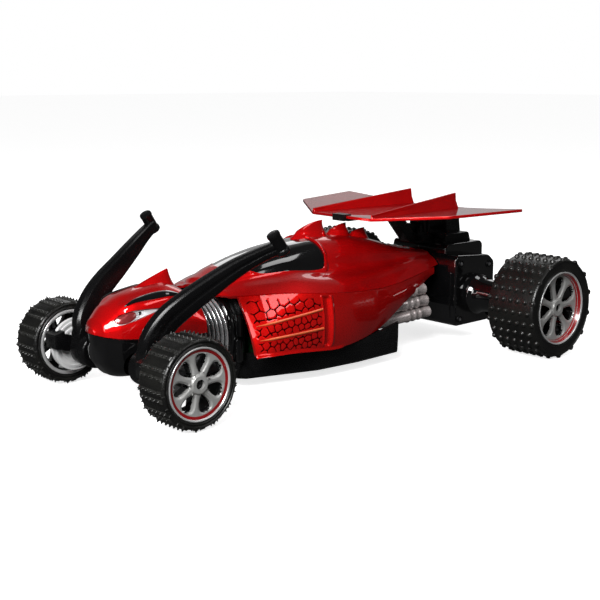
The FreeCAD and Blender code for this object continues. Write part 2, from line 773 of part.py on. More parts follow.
def side_pod():
    """Thin outer panel with an upright groove, two ridges and reliefs over the pipes."""
    swollen = pod_loft([wider(row) for row in POD_RIBS])
    half = 1.1
    rear_x, front_x = RIDGE_X
    parts = [pod_loft(POD_RIBS)]
    for front_z, rear_z in RIDGE_LINES:
        lower = [(front_x, front_z - half), (rear_x, rear_z - half)]
        upper = [(rear_x, rear_z + half), (front_x, front_z + half)]
        parts.append(prism_y(lower + upper, 40.0, 70.0).common(swollen))
    groove = box(26.5, 32.5, 59.1, 64.0, 30.0, 62.0)
    outer = skin_solid(BODY_RIBS, body_rib, 0.0)
    reliefs = [rod(start, end, PIPE_R + 1.3) for start, end in pipe_lines()]
    return less(joined(parts), [groove, outer] + reliefs)


def wider(row):
    """A pod rib moved out by the height of the ridges."""
    ridge = 1.1
    x, ty, tz, by, bz = row
    return (x, ty + ridge, tz, by + ridge, bz)


def pipe_lines():
    lines = []
    for i in range(PIPE_COUNT):
        start = (-27.0, 36.2, 28.5 + 10.6 * i)
        end = (-112.0 + 3.0 * i, 32.6, 27.0 + 11.0 * i)
        lines.append((start, end))
    return lines


def exhaust():
    """Three stacked pipes with double rib bands, joined by a hidden manifold."""
    parts = [box(-30.0, -24.0, 31.5, 41.0, 24.0, 52.0)]
    bores = []
    for start, end in pipe_lines():
        parts.append(rod(start, end, PIPE_R))
        a = V(*start)
        d = (V(*end) - a)
        length = d.Length
        d.normalize()
        for back in (16.0, 23.0):
            c = a + d * (length - back)
            parts.append(Part.makeCylinder(PIPE_R + 0.6, 3.4, c, d))
        bores.append(Part.makeCylinder(PIPE_R - 1.0, 14.0, a + d * (length - 12.0), d))
    return less(joined(parts), bores)


# ---------------------------------------------------------------- head

def eye_region():
    outline = [
        (181.0, 59.5), (176.0, 65.5), (165.0, 69.0), (152.0, 70.0),
        (144.0, 67.5), (152.0, 63.5), (165.0, 60.0), (175.0, 58.0),
    ]
    return prism_y(outline, 8.0, 40.0)


def brow_region():
    outline = [
        (172.0, 7.0), (160.0, 13.5), (146.0, 15.5), (132.0, 14.0),
        (122.0, 10.0), (132.0, 7.0), (146.0, 6.0), (160.0, 4.5),
    ]
    return prism_z(outline, 55.0, 95.0)


def head_parts():
    outer = skin_solid(HEAD_RIBS, head_rib, 0.0)
    inner = skin_solid(moved_rows(HEAD_RIBS, -1.6, 3.0), head_rib, SKIN)
    skin = less(outer, [inner])
    eye = eye_region()
    lens = skin.common(eye)
    fin_line = [(149.0, 74.0), (149.0, 79.4), (138.0, 83.5), (127.5, 88.4), (125.0, 80.0), (125.0, 74.0)]
    fin = less(prism_y(fin_line, -1.6, 1.6), [inner])
    shell = joined([less(skin, [eye, mirrored(eye)]), fin])
    deeper = skin_solid(moved_rows(HEAD_RIBS, -4.0, 3.0), head_rib, SKIN + 1.6)
    back = less(inner.common(eye), [deeper])
    swollen = skin_solid(HEAD_RIBS, head_rib, -1.3)
    brow = less(swollen.common(brow_region()), [outer])
    return shell, lens, back, brow


def jaw_shell():
    outer = skin_solid(JAW_RIBS, jaw_rib, 0.0)
    inner = skin_solid(moved_rows(JAW_RIBS, -2.0, 3.0), jaw_rib, SKIN)
    return less(less(outer, [inner]), [rod_y(-40, 40, FRONT_X, FRONT_R, 9.0)])


def head_frame():
    """Yoke that carries the axle, the flip-arm drive and the tongue to the kingpin."""
    side = [
        (124.0, 37.0), (124.0, 48.0), (132.0, 60.0), (152.0, 60.0), (160.0, 46.0),
        (172.0, 41.0), (173.0, 30.0), (168.0, 26.0), (150.0, 27.0), (135.0, 34.0),
    ]
    cross = box(124.0, 128.0, -14.0, 14.0, 37.0, 46.0)
    front = box(168.5, 171.5, -14.0, 14.0, 39.9, 41.3)
    tongue = box(NECK_X, 126.0, -6.0, 6.0, 38.0, 44.0)
    eye = rod_z(38.0, 44.0, NECK_X, 0, 6.0)
    shape = joined(pair(prism_y(side, 11.0, 14.0)) + [cross, tongue, eye, front])
    cuts = [
        rod_z(30, 50, NECK_X, 0, 2.5),
        rod_y(-30, 30, FRONT_X, FRONT_R, ARM_SHAFT_R + RUN),
        rod_y(-30, 30, ARM_IDLER_X, ARM_IDLER_Z, PIN_R),
        rod_y(5, 30, ARM_PINION_X, ARM_PINION_Z, ARM_MOTOR_R),
    ]
    return less(shape, cuts)


def kingpin():
    pin = rod_z(27.4, 54.4, NECK_X, 0, 2.5)
    head = rod_z(53.1, 55.0, NECK_X, 0, 4.0)
    foot = rod_z(26.0, 27.9, NECK_X, 0, 4.0)
    wheel = gear_z(STEER_GEAR_N, NECK_X, 0, 33.0, 37.9, 0.0)
    return joined([pin, head, foot, wheel])


def front_axle():
    return rod_y(-FRONT_SEAT_Y - 0.1, FRONT_SEAT_Y + 0.1, FRONT_X, FRONT_R, AXLE_R)


def knuckle():
    """Clamp on the dead axle with an arm to a caliper that straddles the disc edge."""
    hub = rod_y(49.0, 55.0, FRONT_X, FRONT_R, 7.0)
    x = FRONT_X
    arm = prism_y([(x, 26.0), (x + 17.0, 31.0), (x + 17.0, 43.0), (x, 38.0)], 50.0, 54.5)
    block = prism_y([(x + 13, 30), (x + 21, 32), (x + 21, 42), (x + 13, 44)], 50.0, 62.5)
    slot = rod_y(56.2, 61.0, FRONT_X, FRONT_R, 19.6)
    bore = rod_y(40.0, 70.0, FRONT_X, FRONT_R, AXLE_R)
    return less(joined([hub, arm, block]), [slot, bore])


def brake_disc():
    disc = tube_y(57.0, 60.2, FRONT_X, FRONT_R, 19.0, AXLE_R + RUN)
    spigot = tube_y(60.0, FRONT_Y_IN + 9.0, FRONT_X, FRONT_R, 5.0, AXLE_R + RUN)
    rings = []
    for r in (8.0, 12.0, 16.0):
        rings.append(tube_y(56.4, 57.1, FRONT_X, FRONT_R, r + 0.8, r - 0.8))
    return joined([disc, spigot] + rings)


def arm_motor():
    can = rod_y(4.5, 21.0, ARM_PINION_X, ARM_PINION_Z, ARM_MOTOR_R)
    flat = box(ARM_PINION_X - 12, ARM_PINION_X + 12, 0, 30, ARM_PINION_Z + 7.4, ARM_PINION_Z + 12)
    return less(can, [flat])


def arm_pinion():
    bearing = math.atan2(ARM_PINION_Z - ARM_IDLER_Z, ARM_PINION_X - ARM_IDLER_X)
    turn = meshing_turn(ARM_PINION_N, ARM_IDLER_N, arm_idler_turn(), bearing)
    wheel = gear_y(ARM_PINION_N, ARM_PINION_X, ARM_PINION_Z, -3.0, 3.0, turn)
    return joined([wheel, rod_y(-4.0, 4.4, ARM_PINION_X, ARM_PINION_Z, 1.4)])


def arm_idler_turn():
    bearing = math.atan2(ARM_IDLER_Z - FRONT_R, ARM_IDLER_X - FRONT_X)
    return meshing_turn(ARM_IDLER_N, ARM_GEAR_N, 0.0, bearing)


def arm_idler():
    wheel = gear_y(ARM_IDLER_N, ARM_IDLER_X, ARM_IDLER_Z, -3.0, 3.0, arm_idler_turn())
    return joined([wheel, rod_y(-13.8, 13.8, ARM_IDLER_X, ARM_IDLER_Z, PIN_R - RUN)])


def arm_shaft():
    tube = tube_y(-46.0, 46.0, FRONT_X, FRONT_R, ARM_SHAFT_R, AXLE_R + RUN)
    wheel = gear_y(ARM_GEAR_N, FRONT_X, FRONT_R, -3.0, 3.0, 0.0)
    bore = rod_y(-5, 5, FRONT_X, FRONT_R, ARM_SHAFT_R - 0.5)
    return joined([tube, less(wheel, [bore])])


def arm_section(row):
    x, z, y, width, depth, angle = row
    a = math.radians(angle)
    nx = math.sin(a)
    nz = -math.cos(a)
    h = width / 2
    d = depth / 2
    c = 0.28 * depth
    upper = [(h, d - c), (h - c, d), (-h + c, d), (-h, d - c)]
    corners = upper + [(s, -t) for s, t in reversed(upper)]
    return polygon([(x + s * nx, y + t, z + s * nz) for s, t in corners])


def flip_arm():
    """Curved arm with a hub on the axle line and a cross bar at the tip."""
    blade = Part.makeLoft([arm_section(row) for row in ARM_RIBS], True, False)
    hub = rod_y(33.5, 46.0, FRONT_X, FRONT_R, 12.5)
    root = prism_y([(157.0, 34.0), (178.0, 34.0), (177.6, 44.0), (159.0, 44.0)], 34.5, 45.5)
    bar = rod((93.0, 74.0, 118.0), (84.3, 75.4, 105.0), 4.3)
    cap = rod((84.7, 75.3, 105.6), (83.6, 75.5, 103.9), 5.0)
    collar = tube_y(46.0, 47.5, FRONT_X, FRONT_R, 8.0, AXLE_R + 1.0)
    shaft_bore = rod_y(30, 46.0, FRONT_X, FRONT_R, ARM_SHAFT_R)
    axle_bore = rod_y(30, 50, FRONT_X, FRONT_R, AXLE_R + 1.0)
    return less(joined([blade, hub, root, bar, cap, collar]), [shaft_bore, axle_bore])


# ---------------------------------------------------------------- rear pod

def gearbox_solid():
    side_line = [
        (-133, 18), (-136, 15), (-180, 15), (-184, 20),
        (-184, 66), (-177, 72), (-136, 75), (-133, 72),
    ]
    main = prism_y(side_line, 0.0, 45.0)
    tier_line = [(-137.0, 60), (-184, 60), (-186, 64), (-186, 79), (-183, 82), (-139.0, 82), (-137, 79)]
    tier = prism_y(tier_line, 0.0, 30.0)
    tower = prism_y([(-146.0, 80), (-182, 80), (-179, 89), (-150, 89)], 0.0, 20.0)
    nose = rod_x(-139.0, -100.4, 0, ROLL_Z, 10.0).common(box(-140, -100, 0, 20, 20, 70))
    outline = [(40.0, 0.0), (40.0, 17.0), (52.0, 17.0), (58.0, 14.0), (84.0, 11.0), (87.4, 9.5), (87.4, 0.0)]
    axle_tube = spun_y(outline, REAR_X, REAR_R)
    return joined([main, tier, tower, nose, axle_tube])


def gearbox_bush(y0, y1):
    return tube_y(y0, y1, REAR_X, REAR_R, 6.5, REAR_AXLE_R + RUN)


def gearbox_case():
    """One half of the gearbox: 2.5 mm walls around the gear train and motor."""
    cavity = prism_y([(-141, 17), (-173, 17), (-173, 70.5), (-141, 70.5)], -1.0, 42.5)
    motor_room = prism_y([(-140, 62), (-182.5, 62), (-182.5, 78.8), (-140, 78.8)], -1.0, 27.5)
    cuts = [
        cavity,
        motor_room,
        rod_y(-1, 100, REAR_X, REAR_R, REAR_AXLE_R + RUN),
        rod_x(-127.0, -99.0, 0, ROLL_Z, ROLL_PIN_R + RUN),
        rod_y(40.0, 86.0, REAR_X, REAR_R, 6.0),
    ]
    holes = [
        rod_y(0, 50, IDLER_X, IDLER_Z, PIN_R + RUN),
        rod_y(0, 50, MOTOR_X, MOTOR_Z, 3.2),
        rod_y(0, 50, REAR_X, REAR_R, REAR_AXLE_R + 1.5),
    ]
    shelf = less(box(-173.2, -140.8, 11.0, 13.5, 44.0, 70.6), holes)
    bushes = [gearbox_bush(80.0, 86.0), gearbox_bush(42.0, 45.0)]
    return joined([less(gearbox_solid(), cuts), shelf] + bushes)


def rear_axle():
    return rod_y(-REAR_SEAT_Y, REAR_SEAT_Y, REAR_X, REAR_R, REAR_AXLE_R)


def axle_gear():
    wheel = gear_y(AXLE_GEAR_N, REAR_X, REAR_R, -4.0, 4.0, 0.0)
    boss = rod_y(-4.6, 4.6, REAR_X, REAR_R, 5.5)
    return less(joined([wheel, boss]), [rod_y(-10, 10, REAR_X, REAR_R, REAR_AXLE_R)])


def idler_turn():
    bearing = math.atan2(IDLER_Z - REAR_R, IDLER_X - REAR_X)
    return meshing_turn(IDLER_SMALL_N, AXLE_GEAR_N, 0.0, bearing)


def idler_gear():
    small = gear_y(IDLER_SMALL_N, IDLER_X, IDLER_Z, -4.0, 5.5, idler_turn())
    big = gear_y(IDLER_BIG_N, IDLER_X, IDLER_Z, 5.0, 9.0, idler_turn())
    pin = rod_y(-13.0, 13.0, IDLER_X, IDLER_Z, PIN_R)
    return joined([small, big, pin])


def motor_pinion():
    bearing = math.atan2(MOTOR_Z - IDLER_Z, MOTOR_X - IDLER_X)
    turn = meshing_turn(MOTOR_PINION_N, IDLER_BIG_N, idler_turn(), bearing)
    wheel = gear_y(MOTOR_PINION_N, MOTOR_X, MOTOR_Z, 5.0, 9.0, turn)
    return joined([wheel, rod_y(4.0, 13.4, MOTOR_X, MOTOR_Z, 1.4)])


def drive_motor():
    can = rod_y(13.6, 40.0, MOTOR_X, MOTOR_Z, MOTOR_R)
    tail = rod_y(39.0, 42.4, MOTOR_X, MOTOR_Z, 3.0)
    return joined([can, tail])


def wing_tower():
    block = prism_y([(-160, 89), (-178, 89), (-176, 103), (-174, SPINE_Z), (-158, SPINE_Z)], -11.0, 11.0)
    front = box(-144.0, -130.0, -9.0, 9.0, 82.0, 88.0)
    strut_line = [(-131.0, 84.0), (-119.0, 84.0), (-101.0, 104.0), (-101.0, SPINE_Z), (-110.0, SPINE_Z)]
    strut = prism_y(strut_line, -5.0, 5.0)
    flutes = [box(-142.0 + 5.0 * i, -138.8 + 5.0 * i, -8.0, 8.0, 86.0, 104.0 - 3.0 * i) for i in range(3)]
    cap = box(-161.0, -126.0, -8.0, 8.0, 89.0, 91.0)
    neck = box(-144.0, -130.0, -8.0, 8.0, 87.0, 90.0)
    return joined([block, front, strut, cap, neck] + flutes)


def wing_spine():
    under = WING_Z - WING_T
    bar = box(-174.0, -48.0, -3.5, 3.5, SPINE_Z, under)
    pad = box(-54.0, -40.0, -6.5, 6.5, 108.4, under)
    hook = box(-42.8, -40.0, -6.5, 6.5, 108.4, WING_Z + 1.0)
    lip = box(-48.0, -40.0, -6.5, 6.5, WING_Z, WING_Z + 1.0)
    return joined([bar, pad, hook, lip])


def wing():
    """Bent plate with two upright fins and a trough between them."""
    half = [
        (-43.0, 0.0), (-43.0, 33.0), (-78.0, 83.0), (-150.0, 98.0),
        (-152.0, 60.0), (-158.0, 30.0), (-152.0, 18.0), (-148.0, 0.0),
    ]
    outline = half + [(x, -y) for x, y in reversed(half[1:-1])]
    plan = prism_z(outline, 95.0, 135.0)
    right = [(-WING_TIP_Y, WING_TIP_Z), (-WING_FOLD_Y, WING_Z)]
    bend = right + [(-y, z) for y, z in reversed(right)]
    slab = prism_x(bend + [(y, z - WING_T) for y, z in reversed(bend)], -165.0, -40.0)
    plate = slab.common(plan)
    fin = Part.makeLoft([
        polygon([(-44.0, 31.0, 111.0), (-44.0, 35.0, 111.0), (-44.0, 34.0, 115.0), (-44.0, 32.4, 115.0)]),
        polygon([(-120.0, 24.6, 111.0), (-120.0, 31.6, 111.5), (-120.0, 28.6, 121.4), (-120.0, 27.0, 121.4)]),
        polygon([(-157.0, 20.4, 111.0), (-157.0, 29.4, 111.5), (-157.0, 26.0, 124.8), (-157.0, 24.2, 124.8)]),
    ], True, True)
    return joined([plate, fin, mirrored(fin)])


def main():
    save("chassis_tub", [chassis_tub()])
    save("battery_door", [battery_door()])
    save("battery_cells", battery_cells())
    save("circuit_board", [circuit_board()])
    save("power_switch", [power_switch()])
    save("chassis_screws", chassis_screws())
    save("steering_servo", [steering_servo()])
    save("servo_pinion", [servo_pinion()])
    save("neck_collar", [neck_collar()])
    save("neck_rings", [neck_rings()])
    save("rear_bellows", [rear_bellows()])
    shell, glass = body_parts()
    save("body_shell", [shell])
    save("canopy", [glass])
    save("engine_trim", [engine_trim()])
    save_sides("side_pod", side_pod())
    save_sides("exhaust", exhaust())
    crown, lens, back, brow = head_parts()
    save("head_shell", [crown])
    save("eye_lenses", pair(lens))
    save("eye_reflectors", pair(back))
    save("brow_trims", pair(brow))
    save("jaw_shell", [jaw_shell()])
    save("head_frame", [head_frame()])
    save("kingpin", [kingpin()])
    save("front_axle", [front_axle()])
    save_sides("knuckle", knuckle())
    save_sides("brake_disc", brake_disc())
    save("arm_motor", [arm_motor()])
    save("arm_pinion", [arm_pinion()])
    save("arm_idler", [arm_idler()])
    save("arm_shaft", [arm_shaft()])
    save_sides("arm", flip_arm())
    save("front_hub_screws", pair(hub_screw(FRONT_SEAT_Y + 0.1, FRONT_X, FRONT_R)))
    front_wheels()
    rear_wheels()
    save_sides("gearbox_case", gearbox_case())
    save("rear_axle", [rear_axle()])
    save("axle_gear", [axle_gear()])
    save("idler_gear", [idler_gear()])
    save("motor_pinion", [motor_pinion()])
    save("drive_motor", [drive_motor()])
    save("wing_tower", [wing_tower()])
    save("wing_spine", [wing_spine()])
    save("wing", [wing()])


main()
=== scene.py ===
import bpy
import bmesh
import json
import math
import random
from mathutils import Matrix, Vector


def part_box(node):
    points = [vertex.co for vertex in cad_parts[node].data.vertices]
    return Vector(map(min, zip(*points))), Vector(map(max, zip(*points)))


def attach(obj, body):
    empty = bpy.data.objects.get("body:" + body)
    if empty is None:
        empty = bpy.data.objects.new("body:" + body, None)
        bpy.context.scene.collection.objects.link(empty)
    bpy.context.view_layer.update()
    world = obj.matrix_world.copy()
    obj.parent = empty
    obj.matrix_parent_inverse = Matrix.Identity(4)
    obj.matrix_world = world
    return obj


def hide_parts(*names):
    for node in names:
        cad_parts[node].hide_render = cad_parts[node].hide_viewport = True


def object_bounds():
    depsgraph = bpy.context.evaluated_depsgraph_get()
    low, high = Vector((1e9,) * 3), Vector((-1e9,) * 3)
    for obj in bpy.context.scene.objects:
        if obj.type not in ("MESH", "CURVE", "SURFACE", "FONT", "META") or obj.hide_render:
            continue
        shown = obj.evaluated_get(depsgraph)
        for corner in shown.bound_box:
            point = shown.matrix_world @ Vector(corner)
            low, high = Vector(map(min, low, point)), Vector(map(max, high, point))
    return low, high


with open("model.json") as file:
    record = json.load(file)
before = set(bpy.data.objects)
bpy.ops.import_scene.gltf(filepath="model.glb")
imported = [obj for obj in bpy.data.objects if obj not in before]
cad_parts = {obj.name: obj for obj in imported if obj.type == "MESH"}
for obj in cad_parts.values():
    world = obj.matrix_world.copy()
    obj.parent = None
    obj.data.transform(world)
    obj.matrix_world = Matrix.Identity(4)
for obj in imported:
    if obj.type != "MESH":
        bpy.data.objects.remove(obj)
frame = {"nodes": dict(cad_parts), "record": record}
FIRST_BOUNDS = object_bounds()
MM = 0.001
SIDES = ((1, "left"), (-1, "right"))

# Design rows of the moulded shells, in millimetres in the part's frame.
# Upper shell: x, half width at the shoulder, shoulder z, cabin half width, cabin foot z, roof z
BODY_RIBS = (
    (103.0, 22.0, 70.5, 14.0, 72.2, 74.5),
    (97.0, 33.0, 70.0, 20.0, 73.8, 78.5),
    (81.0, 43.0, 70.5, 24.0, 77.5, 85.0),
    (61.0, 51.0, 70.3, 28.0, 79.5, 91.0),
    (39.0, 57.0, 68.3, 31.0, 81.0, 95.5),
    (12.0, 59.0, 65.5, 33.0, 79.0, 98.6),
    (-10.0, 55.5, 63.3, 33.0, 78.0, 99.5),
    (-40.0, 49.5, 61.2, 30.0, 76.5, 97.5),
    (-65.0, 43.5, 61.0, 26.0, 75.0, 93.0),
    (-90.0, 37.0, 62.3, 22.0, 74.0, 86.5),
    (-115.0, 30.5, 64.3, 19.0, 74.0, 81.0),
    (-132.0, 26.0, 66.0, 17.0, 73.5, 77.5),
)
# Side pod: x, top y, top z, bottom y, bottom z
POD_RIBS = (
    (93.0, 37.0, 69.6, 57.0, 29.4),
    (80.0, 44.5, 70.1, 59.5, 29.2),
    (60.0, 52.0, 69.8, 60.5, 28.3),
    (38.0, 57.8, 67.8, 60.5, 26.2),
    (18.0, 59.2, 65.7, 60.0, 24.6),
    (-10.0, 56.0, 63.0, 57.0, 26.6),
    (-38.0, 50.4, 61.0, 51.5, 31.6),
    (-70.0, 42.8, 60.9, 43.5, 42.8),
    (-98.0, 35.4, 62.6, 36.0, 51.5),
    (-124.0, 28.6, 64.9, 29.0, 59.5),
)
# Head: x, half width, seam z, crown z
HEAD_RIBS = (
    (189.5, 4.0, 52.0, 56.0),
    (186.0, 12.5, 51.2, 62.0),
    (178.0, 19.0, 50.0, 69.5),
    (165.0, 24.0, 49.0, 76.0),
    (150.0, 27.0, 48.5, 79.5),
    (135.0, 29.5, 48.0, 80.8),
    (124.0, 32.0, 47.5, 77.5),
    (118.0, 34.0, 48.0, 72.0),
)
# Jaw: x, half width, seam z, chin z
JAW_RIBS = (
    (189.0, 4.0, 51.75, 45.0),
    (185.5, 12.5, 50.85, 31.0),
    (178.0, 19.0, 49.85, 22.5),
    (165.0, 24.0, 48.85, 20.5),
    (150.0, 26.0, 48.35, 21.5),
    (135.0, 27.0, 47.85, 26.0),
    (122.0, 27.5, 47.5, 33.0),
)
# Flip arm: centre x, centre z, centre y, width, depth, path angle
ARM_RIBS = (
    (168.5, 42.0, 40.0, 19.0, 11.0, 88.0),
    (168.0, 52.0, 41.5, 19.5, 11.0, 105.0),
    (160.0, 64.0, 45.0, 19.0, 10.5, 130.0),
    (148.0, 74.0, 49.5, 18.0, 10.0, 144.0),
    (131.0, 85.0, 54.5, 16.0, 9.5, 148.0),
    (114.0, 95.5, 60.5, 13.5, 9.0, 148.0),
    (99.0, 103.5, 67.5, 11.0, 8.5, 153.0),
    (86.0, 109.0, 74.0, 10.0, 8.0, 158.0),
)
# Thorns behind the canopy: foot, bulge and tip of the front edge, hollow and heel of the rear, half width
THORNS = (
    ((12.0, 99.4), (-3.2, 110.0), (-22.3, 110.7), (-21.6, 105.0), (-26.0, 99.4), 8.5),
    ((-25.0, 99.4), (-38.0, 106.0), (-48.2, 106.4), (-47.6, 101.8), (-52.0, 96.6), 7.5),
    ((-51.0, 96.5), (-61.0, 100.8), (-69.5, 100.6), (-69.0, 96.8), (-73.5, 91.6), 6.5),
)
# Left half of the canopy opening and of the wing, as (x, y)
CANOPY_HALF = (
    (81.0, 0.0), (77.0, 13.0), (66.0, 24.5), (40.0, 31.0),
    (14.0, 33.6), (4.5, 31.5), (0.5, 24.0), (0.0, 13.0),
)
WING_HALF = (
    (-43.0, 0.0), (-43.0, 33.0), (-78.0, 83.0), (-150.0, 98.0),
    (-152.0, 60.0), (-158.0, 30.0), (-152.0, 18.0), (-148.0, 0.0),
)
# Eye opening, as (x, z)
EYE_CORNERS = (
    (181.5, 60.2), (178.0, 64.2), (170.0, 67.2), (160.0, 68.0), (151.0, 67.9),
    (143.8, 67.0), (155.5, 64.6), (166.0, 61.6), (174.0, 59.2), (179.5, 58.6),
)
SKIN = 1.8
POD_WALL = 2.6
# Scaled panel and the groove behind it, along x; NO_LINE stands for a point far from any scale line
PANEL_REAR = 35.0
PANEL_FRONT = 88.0
GROOVE_REAR = 26.5
GROOVE_FRONT = 32.5
NO_LINE = 9.0
# Wheels: radius of the rim's lip, how deep the spokes sit, drop from the lip to the bead, stud height
FRONT_LIP = 24.2
FRONT_DISH = 3.4
REAR_LIP = 29.2
REAR_DISH = 6.2
BEAD = 2.6
STUD = 1.8
SPOKES = 7
SPOKE_PHASE = math.radians(22.0)
ROLL_AXIS_Z = 42.0
# Wing: top height, half width of its flat middle, slope of the tips
WING_Z = 112.6
WING_FLAT = 33.0
WING_RISE = 4.9 / 66.0
WING_THICK = 2.4
# Camera: distance and aim point (ahead of the middle, above the ground) in metres, lens in millimetres
CAMERA_AZIMUTH = math.radians(47.67)
CAMERA_ELEVATION = math.radians(11.39)
CAMERA_DISTANCE = 0.8626
AIM_AHEAD = 0.0008
AIM_HEIGHT = 0.0496
CAMERA_LENS = 66.33


# ---- materials

def wire(node, values):
    """Sets a node's inputs; each value is a constant or another node's output."""
    for key, value in values.items():
        if isinstance(value, bpy.types.NodeSocket):
            node.id_data.links.new(value, node.inputs[key])
        else:
            node.inputs[key].default_value = value


def add_node(tree, kind, values, **settings):
    node = tree.nodes.new("ShaderNode" + kind)
    for key, value in settings.items():
        setattr(node, key, value)
    wire(node, values)
    return node


def new_material(name):
    m = bpy.data.materials.new(name)
    m.use_nodes = True
    return m, m.node_tree, m.node_tree.nodes["Principled BSDF"]


def noise(tree, scale, detail=3.0):
    spot = add_node(tree, "TexCoord", {}).outputs["Object"]
    return add_node(tree, "TexNoise", {"Scale": scale, "Detail": detail, "Vector": spot}).outputs["Fac"]


def mapped(tree, source, low, high, from_low=0.3, from_high=0.7):
    ends = {"From Min": from_low, "From Max": from_high, "To Min": low, "To Max": high}
    return add_node(tree, "MapRange", {"Value": source, **ends}).outputs["Result"]


def combined(tree, operation, a, b):
    return add_node(tree, "Math", {0: a, 1: b}, operation=operation).outputs["Value"]


def mixed(tree, factor, a, b):
    """Colour mix; a and b are colours or sockets."""
    ends = {key: (*c, 1) if isinstance(c, tuple) else c for key, c in (("A", a), ("B", b))}
    return add_node(tree, "Mix", {**ends, "Factor": factor}, data_type="RGBA").outputs["Result"]


def bumped(tree, height, strength, distance=0.0004):
    values = {"Strength": strength, "Distance": distance, "Height": height}
    return add_node(tree, "Bump", values).outputs["Normal"]


def scuffed(tree, colour, worn):
    """Lightens the colour along convex edges, broken up by noise."""
    sharpness = add_node(tree, "NewGeometry", {}).outputs["Pointiness"]
    edge = mapped(tree, sharpness, 0.0, 0.6, 0.52, 0.62)
    patches = mapped(tree, noise(tree, 220.0), 0.0, 1.0)
    return mixed(tree, combined(tree, "MULTIPLY", edge, patches), colour, worn)


def plastic(name, dark, light, metallic, rough, bump, grain,
            coat=0.0, coat_rough=0.04, worn=None, shine=0.5):
    """Base colour, roughness and bump vary with noise; edges can be lightly worn."""
    m, tree, bsdf = new_material(name)
    colour = mixed(tree, mapped(tree, noise(tree, 45.0), 0.0, 1.0), dark, light)
    if worn:
        colour = scuffed(tree, colour, worn)
    fine = noise(tree, grain, 4.0)
    wire(bsdf, {
        "Base Color": colour,
        "Roughness": mapped(tree, fine, *rough),
        "Normal": bumped(tree, fine, bump),
        "Metallic": metallic,
        "Specular IOR Level": shine,
        "Coat Weight": coat,
        "Coat Roughness": coat_rough,
    })
    return m


def candy(name, deep, bright, inked=False):
    """Red metallic lacquer: colour shifts with the viewing angle, fine flakes in the base, clear coat."""
    m, tree, bsdf = new_material(name)
    facing = add_node(tree, "LayerWeight", {"Blend": 0.35}).outputs["Facing"]
    blotch = mapped(tree, noise(tree, 30.0), 0.0, 0.25)
    colour = mixed(tree, combined(tree, "ADD", facing, blotch), bright, deep)
    coat = 1.0
    if inked:
        gap = add_node(tree, "Attribute", {}, attribute_name="scale_gap").outputs["Fac"]
        ink = mapped(tree, gap, 1.0, 0.0, 0.30, 0.46)
        colour = mixed(tree, ink, colour, (0.004, 0.001, 0.001))
        coat = mapped(tree, ink, 1.0, 0.0, 0.0, 1.0)
    wire(bsdf, {
        "Base Color": colour,
        "Roughness": mapped(tree, noise(tree, 2200.0), 0.24, 0.36),
        "Normal": bumped(tree, noise(tree, 9000.0, 2.0), 0.05, 0.0001),
        "Metallic": 0.55,
        "Specular IOR Level": 0.0,
        "Coat Weight": coat,
        "Coat Roughness": 0.03,
        "Coat IOR": 1.55,
        "Coat Normal": bumped(tree, noise(tree, 14.0, 1.0), 0.06, 0.002),
    })
    return m


def clear_lens():
    m, tree, bsdf = new_material("lens_clear")
    wire(bsdf, {
        "Roughness": mapped(tree, noise(tree, 300.0), 0.02, 0.05),
        "Base Color": mixed(tree, noise(tree, 60.0), (0.92, 0.92, 0.95), (0.98, 0.98, 1.0)),
        "Transmission Weight": 1.0,
        "IOR": 1.25,
        "Alpha": 0.25,
    })
    return m


def grey(level):
    return (level, level, level)


BLACK = (0.0035, 0.0035, 0.0038)
DARK_BLACK = (0.0022, 0.0022, 0.0024)
